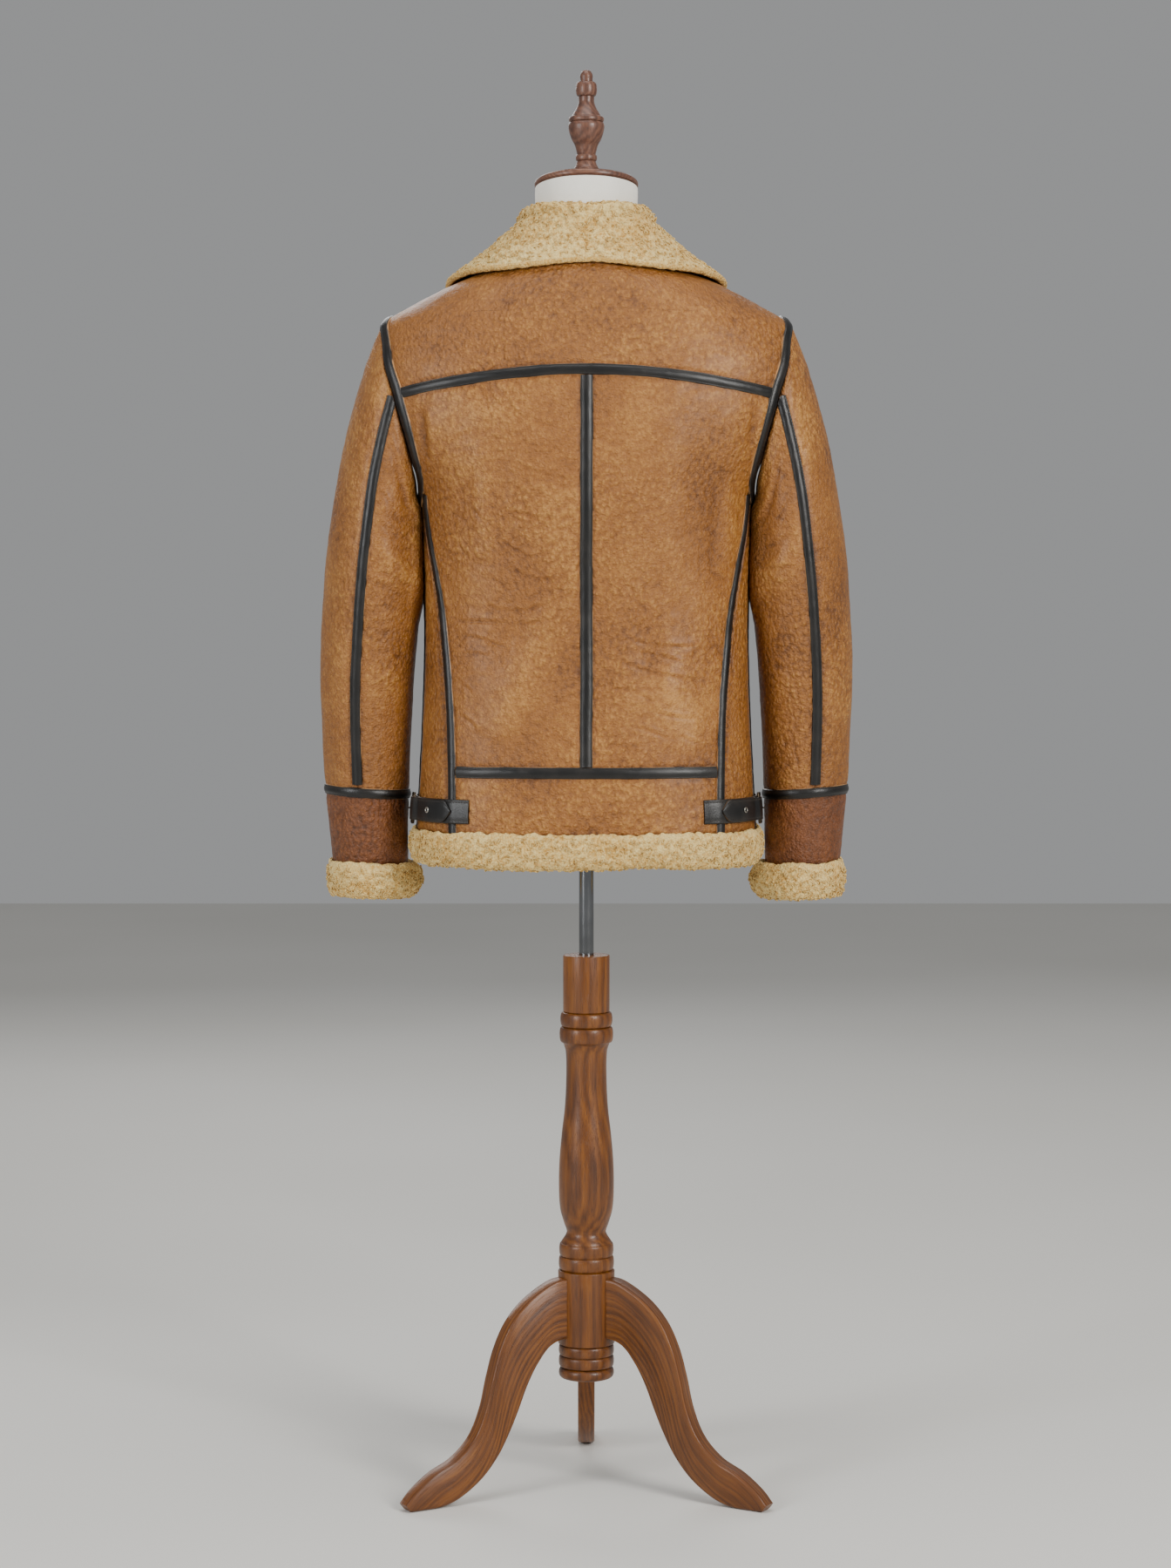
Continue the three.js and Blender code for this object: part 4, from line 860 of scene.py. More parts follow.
def leather_finish(name, dark, middle, light, **constants):
    """Pebbled leather: small rounded cells and drawn wrinkles with fine lines between them, their size
    uneven, over a mottled dye, with painted shade in the creases, the fine lines, the pebble grooves and
    beside the seams, and painted highlight on the ridges and the tops of the wrinkles."""
    finish = Finish(name, Specular_IOR_Level=0.4, Coat_Roughness=0.36, **constants)
    place = finish.place()
    clouds = finish.noise(place, 15, 4, 0.55)
    patches = finish.noise(place, 7, 2).step(0.38, 0.62)
    warp = finish.noise(place, 60, 3, 0.6)
    cell = finish.cells(place, 430, "SMOOTH_F1", Smoothness=0.45, Randomness=1.0)
    pebble = finish.cells(finish.stretched(place, 1.25, 1.25, 1), 175, "SMOOTH_F1", Smoothness=0.7,
                          Randomness=1.0)
    fine = finish.noise(place, 1900, 2, 0.6)
    wrinkle = finish.noise(finish.stretched(place, 0.8, 0.8, 1.3), 120, 5, 0.64, 0.5)
    veins = finish.noise(finish.stretched(place, 0.7, 0.7, 1.4), 48, 3, 0.6, 0.7)
    veins = (1 - (veins - 0.5).size().step(0.0, 0.02)) * (0.25 + patches * 0.75)
    speck = finish.noise(place, 420, 3, 0.7)
    # Tone: the tone mark with its painted shade and highlight, random clouds, specks and warp, and painted
    # light that follows the bump: paler on the raised wrinkles, painted shade in the fine vein lines and in
    # the grooves between the pebbles.
    tone = finish.mark("tone") + (clouds - 0.5) * 0.62 + (speck - 0.5) * 0.75 + (wrinkle - 0.5) * 0.35
    tone = tone + (warp - 0.5) * 0.12 - veins * 0.05 - (pebble - 0.45) * (0.4 + patches * 0.3)
    base = finish.blend(tone.step(0.02, 0.56), dark, middle)
    base = finish.blend(tone.step(0.48, 1.02), base, light)
    grain = (0.6 - cell) * 0.34 + (0.6 - pebble) * (0.4 + patches * 0.5) + wrinkle * 0.85 + fine * 0.05
    normal = finish.bump(grain - veins * 0.08, 0.0036)
    rough = 0.4 + (clouds - 0.5) * 0.2 + cell * 0.14
    return finish.wear(Base_Color=base, Roughness=rough, Normal=normal)


def wool_finish(name, shadow, middle, pale):
    """Curly wool: painted highlight paler towards the tips of its locks and the tops of its tufts, painted
    shade between them and round the small knots, and a faint sheen.
    """
    finish = Finish(name, Sheen_Weight=0.12, Sheen_Roughness=0.5, Specular_IOR_Level=0.15)
    place = finish.place()
    curl = finish.noise(place, 330, 4, 0.6, 1.6)
    fibre = finish.noise(place, 2300, 2, 0.6, 0.8)
    knot = finish.cells(place, 380, "SMOOTH_F1", Smoothness=0.4, Randomness=1.0)
    patch = finish.noise(place, 18, 3)
    # Tone: the tip mark and the curl and knot noise, which follow the bump, give the painted highlight and
    # shade; the patches and fibres are random.
    tone = finish.mark("tip") * 0.85 + 0.08 + curl * 0.6 + (patch - 0.5) * 0.2 + (fibre - 0.5) * 0.2
    tone = tone + (0.5 - knot) * 0.55
    base = finish.blend(tone.step(0.2, 0.7), shadow, middle)
    base = finish.blend(tone.step(0.55, 1.15), base, pale)
    normal = finish.bump((0.6 - knot) * 0.9 + curl * 0.8 + fibre * 0.25, 0.0032)
    return finish.wear(Base_Color=base, Roughness=0.82 + fibre * 0.14, Normal=normal)


# The dark colours are reached in the painted shade of creases, fine lines and pebble grooves and in the
# darker random mottle; the light ones on the painted highlights of the ridges and in the paler mottle.
tan = leather_finish("tan_leather", shade_of(100, 58, 19), shade_of(140, 87, 31), shade_of(176, 123, 58),
                     Coat_Weight=0.2)
tan_dark = leather_finish("tan_leather_dark", shade_of(70, 36, 12), shade_of(110, 60, 22),
                          shade_of(142, 86, 38), Coat_Weight=0.2)
# The first colour is reached in the painted shade between the locks and tufts, the last on the painted
# highlights of their tips and tops; the middle one is the wool's own cream.
wool = wool_finish("cream_wool", shade_of(140, 88, 34), shade_of(228, 178, 92), shade_of(255, 224, 148))


def run_of(points, axis):
    """Distance along one direction of a grid of points, from its first line."""
    gone = np.linalg.norm(np.diff(points, axis=axis), axis=-1)
    start = [(0, 0), (0, 0)]
    start[axis] = (1, 0)
    return np.pad(np.cumsum(gone, axis=axis), start)


def sew_panel(name, node, base, normal, relief, inner, channels, seed, finish=tan, side=1):
    """A closed wall of leather. Near each edge (left, right, bottom, top) it sinks over that edge's channel,
    where a strip is sewn on, and puckers beside it. The flat size is measured on the plain surface."""
    across, up = run_of(base, 0), run_of(base, 1)
    distances = (across, across[-1:] - across, up, up[:, -1:] - up)
    along = (up, up, across, across)
    height = relief.copy()
    near = np.zeros_like(height)
    for k, (distance, line, channel) in enumerate(zip(distances, along, channels)):
        beyond = np.maximum(distance - channel, 0)
        near = np.maximum(near, 1 - ease(beyond / 4))
        height += 0.42 * np.exp(-beyond / 9) * drift(line, distance / 3, 6.5, seed + k) * (channel > 0)
    height = height * (1 - 0.75 * near) - SINK * near
    outer = base + normal * height[..., None]
    columns, rows = height.shape
    points = np.vstack([outer.reshape(-1, 3), inner.reshape(-1, 3)]) * [side, 1, 1]
    ids = np.arange(columns * rows).reshape(columns, rows)
    rim = np.concatenate([ids[:-1, 0], ids[-1, :-1], ids[:0:-1, -1], ids[0, :0:-1]])
    back = rim + ids.size
    edge = np.stack([np.roll(rim, -1), rim, back, np.roll(back, -1)], -1)
    faces = [net(columns, rows), edge, net(columns, rows, first=ids.size)[:, ::-1]]
    # The tone mark is painted light over a random mottle: painted shade in the creases and beside the seams,
    # where the leather sinks under the strips, and painted highlight on the ridges.
    mottle_and_painted_light = 0.56 + 0.08 * height + 0.16 * drift(across, up, 70, seed + 9) - 0.14 * near
    marks = {
        "tone": np.concatenate([mottle_and_painted_light.ravel(), np.zeros(ids.size)]),
        "tip": np.full(2 * ids.size, 0.45),
    }
    piece = build(name, points, faces, [finish, wool], "figure", (0, 0, 1), marks=marks)
    corners = [base[:-1, :-1], base[1:, :-1], base[1:, 1:], base[:-1, 1:]]
    cut = np.linalg.norm(np.cross(corners[2] - corners[0], corners[3] - corners[1]), axis=-1).sum() / 2
    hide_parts(node)


def body_panel(name, node, edges, step, channels, seed, side=1, finish=tan):
    """A panel of the body: the patch between its four edges, laid on the body's surface."""
    left, right, bottom, top = edges
    columns = int(max(span(bottom), span(top)) / step) + 2
    rows = int(max(span(left), span(right)) / step) + 2
    sides = [evenly(line, count) for line, count in zip(edges, (rows, rows, columns, columns))]
    grid = drawn_in(coons(*sides), (span(bottom), span(left)))
    angle, z = grid[..., 0], grid[..., 1]
    base = body_point(angle, z)
    normal = body_slopes(angle, z)[2]
    inner = base - normal * BODY_WALL
    relief = body_relief(side * angle, z)
    sew_panel(name, node, base, normal, relief, inner, channels, seed, finish, side)


underarm_z = ARMHOLE_MIDDLE - ARMHOLE_HALF
shoulder_z = ARMHOLE_MIDDLE + ARMHOLE_HALF
PRINCESS_TOP_Z = armhole(150, 150, 1)[0, 1]
zip_z = np.linspace(HEM_Z, NECKLINE_FRONT_Z - 0.4, 160)
zip_edge = places(angle_at_x(ZIP_HALF, zip_z, -1), zip_z)
princess_angle_low = princess(HEM_Z, HEM_Z, 1)[0, 0]
princess_angle_seam = princess(HEM_SEAM_Z, HEM_SEAM_Z, 1)[0, 0]
ridge = upright(90, shoulder_z, NECKLINE_Z, 30)
yoke_side = np.vstack([armhole(SLEEVE_BACK_SEAM, 0)[:-1], ridge])
body_panel(
    "leather_yoke",
    "yoke",
    (mirrored(yoke_side), yoke_side, yoke_seam(-1, 1, 160), level(-90, 90, NECKLINE_Z, 160)),
    3.1,
    (12.4, 12.4, 6.4, 0),
    11,
)
band_side = princess(HEM_Z, HEM_SEAM_Z)
body_panel(
    "leather_hem_band",
    "hem_band",
    (
        mirrored(band_side),
        band_side,
        level(-princess_angle_low, princess_angle_low, HEM_Z),
        level(-princess_angle_seam, princess_angle_seam, HEM_SEAM_Z),
    ),
    3.0,
    (5.4, 5.4, 0, 6.6),
    21,
)
back_side = np.vstack([princess(HEM_SEAM_Z, PRINCESS_TOP_Z)[:-1], armhole(150, SLEEVE_BACK_SEAM)])
side_front = upright(90, HEM_Z, underarm_z)
front_side = np.vstack([side_front[:-1], armhole(180, 360, 160)[:-1], ridge])
front_top = level(90, zip_edge[-1, 0], 0)
front_top[:, 1] = neckline_z(front_top[:, 0])
for side, word in ((1, "left"), (-1, "right")):
    body_panel(
        f"leather_back_{word}",
        f"back_{word}",
        (
            upright(0, HEM_SEAM_Z, YOKE_CENTRE_Z),
            back_side,
            level(0, princess_angle_seam, HEM_SEAM_Z),
            yoke_seam(0, 1),
        ),
        1.9,
        (7, 5.6, 6.6, 6.4),
        31 + side,
        side,
    )
    body_panel(
        f"leather_side_{word}",
        f"side_{word}",
        (
            princess(HEM_Z, PRINCESS_TOP_Z),
            side_front,
            level(princess_angle_low, 90, HEM_Z),
            armhole(150, 180, 30),
        ),
        3.4,
        (5.4, 4.4, 0, 12.4),
        41 + side,
        side,
    )
    body_panel(
        f"leather_front_{word}",
        f"front_{word}",
        (front_side, zip_edge, level(90, zip_edge[0, 0], HEM_Z), front_top),
        4.6,
        (4.4, 10.8, 0, 0),
        51 + side,
        side,
    )

# Sleeves: a top and an under sleeve each, eased into the armhole so that the head stands a little full.
# They are joined by a bound seam down the back of the arm and a plain one at the front.
SLEEVE = Table(
    "ring out_x out_z in_x in_z mid_y depth",
    (0, 229.6, 1329, 190.4, 1128, 3, 63),
    (1, 246, 1290, 190.3, 1111, 2, 66),
    (2, 262, 1240, 189.6, 1091, 0, 69),
    (3, 276, 1185, 188.8, 1068, -1, 71),
    (4, 287, 1125, 188.2, 1040, -2, 70),
    (5, 295, 1068, 189.2, 1008, -4, 68),
    (6, 300, 1005, 193.2, 965, -8, 65),
    (7, 303, 940, 197.5, 915, -13, 61),
    (8, 302, 875, 200.5, 862, -19, 57),
    (9, 298.5, 802, 203, 796, -26, 52),
    (10, 295, 760, 204.5, 756, -30, 49),
    (11, 291, 717, 205, 714, -33, 47),
)
CUFF_RING = 9
WRIST_RING = 11
FRONT_SEAM = 262
SLEEVE_WALL = 7
RING_LENGTH = 43
# Turn and ring of both ends, bow, half width and depth
SLEEVE_CREASES = (
    (96, 1.0, 150, 2.3, 5, 9, 1.6),
    (84, 1.6, 60, 2.9, 4, 10, -1.3),
    (96, 2.55, 128, 2.75, 2, 1.9, 0.8),
    (92, 3.45, 142, 3.25, 3, 2, 0.95),
    (94, 3.62, 132, 3.5, -2, 1.8, 0.7),
    (100, 4.25, 136, 4.0, 2, 1.7, 0.8),
    (92, 4.42, 126, 4.32, -2, 1.7, 0.7),
    (96, 4.65, 140, 4.5, 2, 1.8, 0.8),
    (92, 4.85, 120, 4.8, -2, 1.7, 0.6),
    (100, 5.45, 138, 5.3, 3, 2, 0.8),
    (94, 6.35, 132, 6.2, -2, 1.8, 0.7),
    (102, 6.55, 140, 6.45, 2, 1.8, 0.7),
    (98, 7.15, 130, 7.1, 2, 1.8, 0.65),
    (96, 8.2, 134, 8.05, -2, 1.8, 0.7),
    (90, 3.9, 158, 4.1, 0, 13, -1.2),
    (92, 5.1, 160, 5.0, 0, 15, 1.3),
    (88, 6.9, 150, 6.9, 0, 17, -1.0),
    (72, 2.1, 34, 2.4, 3, 2, 0.6),
    (70, 4.2, 26, 4.5, 4, 2.1, 0.7),
    (68, 5.35, 34, 5.3, -3, 2, 0.6),
    (66, 6.5, 28, 6.8, 3, 2, 0.6),
    (64, 8.1, 36, 8.0, -2, 1.9, 0.5),
    (74, 5.9, 10, 6.0, 0, 18, 1.0),
    (70, 7.6, 8, 7.5, 0, 16, -0.9),
    (226, 3.9, 306, 4.2, 3, 3, 1.3),
    (218, 4.7, 312, 4.9, -3, 3.2, 1.5),
    (230, 5.5, 300, 5.5, 2, 2.8, 1.2),
    (222, 6.3, 290, 6.5, 2, 2.4, 0.8),
    (196, 2.2, 240, 3.0, 4, 6, 1.2),
)
CUFF_CREASES = (
    (120, 9.5, 70, 9.65, 2, 1.8, 0.5),
    (96, 10.2, 40, 10.35, -2, 1.9, 0.55),
    (150, 10.4, 110, 10.3, 2, 1.8, 0.5),
    (60, 9.4, 20, 9.7, 2, 8, 0.8),
)


def sleeve_oval(turn, ring):
    """The plain section: a centre, plus cosine and sine of the turn times its two half sizes."""
    c, s = np.cos(np.radians(turn)), np.sin(np.radians(turn))
    out_x, out_z, in_x, in_z = (SLEEVE(name, ring) for name in ("out_x", "out_z", "in_x", "in_z"))
    x = (out_x + in_x) / 2 + c * (out_x - in_x) / 2
    y = SLEEVE("mid_y", ring) + SLEEVE("depth", ring) * s
    z = (out_z + in_z) / 2 + c * (out_z - in_z) / 2
    return np.stack(np.broadcast_arrays(x, y, z), -1)


def armhole_place(turn):
    """Angle and height of the armhole's edge at a turn of any array shape."""
    c, s = np.cos(np.radians(turn)), np.sin(np.radians(turn))
    z = ARMHOLE_MIDDLE + ARMHOLE_HALF * c
    return angle_at_y(np.where(s >= 0, ARMHOLE_BACK, ARMHOLE_FRONT) * s, z), z


def sleeve_point(turn, ring):
    """The oval, moved by what its first ring misses the armhole by; that fades as a square over two rings."""
    start = body_point(*armhole_place(turn))
    start[..., 0] += 0.6 + 1.4 * (1 - np.cos(np.radians(turn)))
    fade = np.maximum(1 - np.maximum(ring, 0) / 2, 0)[..., None] ** 2
    spot = sleeve_oval(turn, ring) + (start - sleeve_oval(turn, 0 * ring)) * fade
    spot[..., 0] -= resting(spot)
    return spot


def resting(spot):
    """How far the inner side of the arm moves towards the body, so that it lies on the side panel and its
    binding from the underarm down to the elbow: the gap between them, eased in over height and depth."""
    x, y, z = np.moveaxis(spot, -1, 0)
    n = BODY("power", z)
    depth = np.where(y >= 0, BODY("back", z), BODY("front", z))
    side = BODY("half", z) * (1 - np.minimum(np.abs(y) / depth, 0.99) ** n) ** (1 / n)
    clear = 0.9 + 1.5 * np.exp(-((y / 5.5) ** 2))
    share = ease((z - 985) / 50) * ease((1140 - z) / 22) * ease((56 - np.abs(y)) / 26)
    return share * np.clip(x - side - clear, 0, 7) * ease((30 - (x - side)) / 18)


def sleeve_middle(ring):
    """The middle of the sleeve at a ring: halfway between its two opposite points."""
    return (sleeve_oval(0.0, ring) + sleeve_oval(180.0, ring)) / 2


def sleeve_slopes(turn, ring):
    """The sleeve's steps and outward normal, kept off the first ring, where the steps shrink to nothing."""
    return slopes_of(sleeve_point, turn, np.maximum(ring, 0.02), 0.5, 0.01)


def sleeve_relief(turn, ring, side=1):
    """Creases and unevenness of the arm, in lengths round it and along it."""
    around, along = 1.1 * turn, RING_LENGTH * ring
    height = 0.45 * drift(around + 300, along, 24, 14 + side) + 0.25 * drift(around + 300, along, 10, 15)
    height = height + 0.22 * drift(around + 300 + 0.5 * along, along - 0.3 * around, 6, 18)
    head = np.exp(-(ring / 0.5) ** 2) * np.maximum(np.cos(np.radians(turn - 25)), 0)
    height = height + 0.5 * head * drift(around, along / 4, 8, 16 + side)
    shift = 3 * (side < 0)
    for turn0, ring0, turn1, ring1, bow, wide, deep in (*SLEEVE_CREASES, *CUFF_CREASES):
        for lap in (0, -360):
            start = 1.1 * (turn0 + lap + shift), RING_LENGTH * ring0 + 2.5 * shift
            end = 1.1 * (turn1 + lap - shift), RING_LENGTH * ring1 - shift
            height = height + crease(around, along, start, end, bow * side, wide, deep)
    return height


def sleeve_panel(name, node, turns, rings, step, channels, seed, side, finish=tan):
    """A panel of the sleeve between two turns and two rings; its wall points to the sleeve's middle line."""
    gap = (0.25, 0.006)
    long = RING_LENGTH * (rings[1] - rings[0])
    turn = np.linspace(turns[0] + gap[0], turns[1] - gap[0], int((turns[1] - turns[0]) * 1.1 / step) + 2)
    ring = np.linspace(rings[0] + gap[1] * (rings[0] > 0), rings[1] - gap[1] * (rings[1] < 11),
                       int(long / step) + 2)
    turn, ring = np.meshgrid(turn, ring, indexing="ij")
    base = sleeve_point(turn, ring)
    normal = sleeve_slopes(turn, ring)[2]
    middle = sleeve_middle(ring)
    inner = base + unit(middle - base) * SLEEVE_WALL
    relief = sleeve_relief(turn, ring, side)
    sew_panel(name, node, base, normal, relief, inner, channels, seed, finish, side)


for side, word in ((1, "left"), (-1, "right")):
    sleeve_panel(
        f"leather_top_sleeve_{word}",
        f"top_sleeve_{word}",
        (FRONT_SEAM - 360, SLEEVE_BACK_SEAM),
        (0, CUFF_RING),
        3.3,
        (0.8, 6.4, 1.2, 5.9),
        61 + side,
        side,
    )
    sleeve_panel(
        f"leather_under_sleeve_{word}",
        f"under_sleeve_{word}",
        (SLEEVE_BACK_SEAM, FRONT_SEAM),
        (0, CUFF_RING),
        3.3,
        (6.4, 0.8, 1.2, 5.9),
        71 + side,
        side,
    )
    sleeve_panel(
        f"leather_cuff_{word}",
        f"cuff_band_{word}",
        (FRONT_SEAM - 360, FRONT_SEAM),
        (CUFF_RING, WRIST_RING),
        3.3,
        (0.8, 0.8, 5.9, 0),
        81 + side,
        side,
        tan_dark,
    )

# Bindings: strips of smooth black leather laid over every seam and stitched down along both edges. They
# swell a little between the stitch rows, and each one is cut where the next crosses it.
BINDING_SECTION = np.array([
    (-1.1, -0.25), (-1.02, 0.25), (-0.99, 0.95), (-0.95, 1.4), (-0.87, 1.62), (-0.79, 1.4), (-0.7, 1.6),
    (-0.5, 2.15), (-0.25, 2.5), (0, 2.62), (0.25, 2.5), (0.5, 2.15), (0.7, 1.6), (0.79, 1.4),
    (0.87, 1.62), (0.95, 1.4), (0.99, 0.95), (1.02, 0.25), (1.1, -0.25),
])


def strap_leather(name, dark, light, rough=0.3):
    """Smooth black leather with a fine grain, paler where it is rubbed along the rims, with a row of
    stitches near each edge. The UV runs along the strip in metres, and across it from 0 to 1."""
    finish = Finish(name, Specular_IOR_Level=0.42, Coat_Weight=0.1, Coat_Roughness=0.3)
    place = finish.place()
    grain = finish.cells(place, 900, "SMOOTH_F1", Smoothness=0.6, Randomness=1.0)
    fine = finish.noise(place, 1500, 3, 0.6)
    clouds = finish.noise(place, 45, 3)
    uv = finish.node("ShaderNodeUVMap", {"uv_map": "UVMap"}, {}, "UV")
    run = finish.node("ShaderNodeSeparateXYZ", {}, {"Vector": uv}, "X")
    across = finish.node("ShaderNodeSeparateXYZ", {}, {"Vector": uv}, "Y")
    strides = run * 310
    beat = strides.maths("FRACT", strides)
    thread = (1 - (beat - 0.5).size() * 2).step(0.22, 0.42)
    from_middle = (across - 0.5).size() * 2
    row = 1 - (from_middle - 0.79).size().step(0.02, 0.075)
    stitch = row * thread
    rub = (clouds + fine * 0.5 + from_middle * 0.22).step(0.72, 1.15)
    base = finish.blend(rub, dark, light)
    base = finish.blend(stitch * 0.8, base, shade_of(40, 34, 29))
    raw_edge = from_middle.step(0.985, 1.04) * clouds.step(0.36, 0.6)
    base = finish.blend(raw_edge, base, shade_of(186, 140, 92))
    normal = finish.bump(stitch * 0.55 + grain * 0.16 + fine * 0.1, 0.0009)
    gloss = rough + clouds * 0.18 + stitch * 0.25
    return finish.wear(Base_Color=base, Roughness=gloss, Normal=normal)


black = strap_leather("black_leather", shade_of(9, 8, 7), shade_of(30, 26, 23), 0.3)


def laid_strip(name, node, point, slopes, relief, line, half, side=1, closed=False, lift=0.0,
               shape=BINDING_SECTION, seed=1, wobble=1.0, **kind):
    """A strip along a line of a surface. Each point lies across the line by its share of the half width,
    through the step in u and v that moves it that far, and stands out from the surface by its height."""
    u, v = line[:, 0], line[:, 1]
    centre = point(u, v)
    run = np.append(0, np.cumsum(np.linalg.norm(np.diff(centre, axis=0), axis=1)))
    along_u, along_v, normal = slopes(u, v)
    if closed:
        ahead = np.roll(centre[:-1], -1, 0) - np.roll(centre[:-1], 1, 0)
        ahead = np.vstack([ahead, ahead[:1]])
    else:
        ahead = np.gradient(centre, axis=0)
    across = unit(np.cross(normal, ahead))
    uu, uv, vv = (np.einsum("ij,ij->i", a, b) for a, b in
                  ((along_u, along_u), (along_u, along_v), (along_v, along_v)))
    au, av = (np.einsum("ij,ij->i", a, across) for a in (along_u, along_v))
    det = uu * vv - uv * uv
    wander = wobble * 0.35 * drift(run, run * 0, 47, seed)
    wide = half + wobble * 0.22 * drift(run, run * 0 + 9, 23, seed + 1)
    distance = shape[None, :, 0] * np.broadcast_to(wide, run.shape)[:, None] + wander[:, None]
    du, dv = (au * vv - av * uv) / det, (av * uu - au * uv) / det
    at_u, at_v = u[:, None] + du[:, None] * distance, v[:, None] + dv[:, None] * distance
    ripple = wobble * 0.16 * drift(run[:, None] + 0 * distance, distance, 5.5, seed + 2)
    height = 0.25 * relief(at_u, at_v) - SINK + np.broadcast_to(lift, run.shape)[:, None]
    height = height + shape[None, :, 1] + ripple * (shape[None, :, 1] > 1)
    rings = point(at_u, at_v) + slopes(at_u, at_v)[2] * height[..., None]
    share = (shape[:, 0] + 1) / 2
    flat_uv = np.stack(np.broadcast_arrays(run[:, None] * MM, share[None]), -1)
    return strip_piece(name, node, rings, flat_uv, side, closed, **kind)


def strip_piece(name, node, rings, flat_uv, side, closed, finish=black, slot="black_leather"):
    """A tube through the strip's rings, mirrored for the right side, with its length and width as UV."""
    if closed:
        rings, flat_uv = rings[:-1], flat_uv[:-1]
    points, faces = tube(rings, closed)
    uv = flat_uv.reshape(-1, 2)
    if not closed:
        uv = np.vstack([uv, flat_uv[0].mean(0), flat_uv[-1].mean(0)])
    piece = build(name, points * [side, 1, 1], faces, [finish], "figure", uv=uv, crisp=60)
    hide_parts(node)
    return piece


def body_strip(name, node, line, half, side=1, **more):
    """A strip laid on the body along a line of angles and heights."""
    return laid_strip(name, node, body_point, body_slopes, lambda a, z: body_relief(side * a, z),
                      line, half, side, **more)


def sleeve_strip(name, node, line, half, side=1, **more):
    """A strip laid on the sleeve along a line of turns and rings."""
    return laid_strip(name, node, sleeve_point, sleeve_slopes, lambda t, r: sleeve_relief(t, r, side),
                      line, half, side, **more)


def armhole_strip(name, node, side):
    """The ring that covers the armhole seam: it lies on the body beside the edge, put back on the body's
    surface by its angle and height."""
    turn = np.linspace(0, 360, 221)
    edge = body_point(*armhole_place(turn))
    ahead = np.roll(edge[:-1], -1, 0) - np.roll(edge[:-1], 1, 0)
    ahead = np.vstack([ahead, ahead[:1]])
    across = unit(np.cross(ahead, body_slopes(*armhole_place(turn))[2]))
    inward = sleeve_middle(np.zeros(1)) - edge
    across = across * -np.sign((across * inward).sum(-1, keepdims=True))
    distance = 6.2 + 5.6 * BINDING_SECTION[:, 0] + 0.3 * drift(turn, turn * 0, 33, 5)[:, None]
    spot = edge[:, None] + across[:, None] * distance[..., None]
    angle = np.degrees(np.arctan2(spot[..., 0], spot[..., 1]))
    z = spot[..., 2]
    run = np.append(0, np.cumsum(np.linalg.norm(np.diff(edge, axis=0), axis=1)))
    ripple = 0.2 * drift(run[:, None] + 0 * distance, distance, 6, 6)
    height = 0.25 * body_relief(side * angle, z) + 0.35 + BINDING_SECTION[:, 1]
    height = height + ripple * (BINDING_SECTION[:, 1] > 1) - 0.9 * (BINDING_SECTION[:, 1] < 0)
    rings = body_point(angle, z) + body_slopes(angle, z)[2] * height[..., None]
    share = (BINDING_SECTION[:, 0] + 1) / 2
    flat_uv = np.stack(np.broadcast_arrays(run[:, None] * MM, share[None]), -1)
    return strip_piece(name, node, rings, flat_uv, side, True)


def spaced(line, step=3.0):
    """The same line with its points about one step apart."""
    return evenly(line, int(span(line) / step) + 2)


hem_end = angle_at_x(PRINCESS("x", HEM_SEAM_Z) - 5.6, HEM_SEAM_Z)
binding_front_z = np.linspace(HEM_Z, NECKLINE_FRONT_Z - 1.4, 190)
binding_front = places(angle_at_x(ZIP_HALF + 5.4, binding_front_z, -1), binding_front_z)
sewn_on = {
    "leather_yoke": [
        body_strip("binding_yoke", "yoke_binding", spaced(yoke_seam(-0.965, 0.965, 200)), 6, seed=101),
    ],
    "leather_back_left": [
        body_strip("binding_centre", "centre_binding", spaced(upright(0, 833.8, 1265.5)), 6.8, seed=104),
    ],
    "leather_hem_band": [
        body_strip("binding_hem", "hem_binding", spaced(level(-hem_end, hem_end, HEM_SEAM_Z)), 6.3, seed=107),
    ],
}
princess_line = np.vstack([princess(HEM_Z, PRINCESS_TOP_Z, 120)])
sleeve_seam = np.stack(np.broadcast_arrays(SLEEVE_BACK_SEAM * 1.0, np.linspace(0.04, 8.84, 175)), -1)
cuff_seam = np.stack(np.broadcast_arrays(np.linspace(0, 360, 112), CUFF_RING * 1.0), -1)
for side, word in ((1, "left"), (-1, "right")):
    sewn_on[f"leather_side_{word}"] = [
        body_strip(f"binding_princess_{word}", f"princess_binding_{word}", spaced(princess_line)[:-2], 5,
                   side, seed=110 + side),
    ]
    sewn_on[f"leather_front_{word}"] = [
        body_strip(f"binding_side_{word}", f"side_binding_{word}", spaced(side_front)[:-3], 4, side,
                   seed=120 + side),
        body_strip(f"binding_front_{word}", f"front_binding_{word}", spaced(binding_front), 5, side,
                   seed=130 + side),
    ]
    sewn_on[f"leather_top_sleeve_{word}"] = [
        armhole_strip(f"binding_armhole_{word}", f"armhole_binding_{word}", side),
        sleeve_strip(f"binding_sleeve_{word}", f"sleeve_binding_{word}", sleeve_seam, 5.8, side, lift=0.15,
                     seed=140 + side),
    ]
    sewn_on[f"leather_cuff_{word}"] = [
        sleeve_strip(f"binding_cuff_{word}", f"cuff_binding_{word}", cuff_seam, 5.4, side, closed=True,
                     lift=0.25, seed=150 + side),
    ]

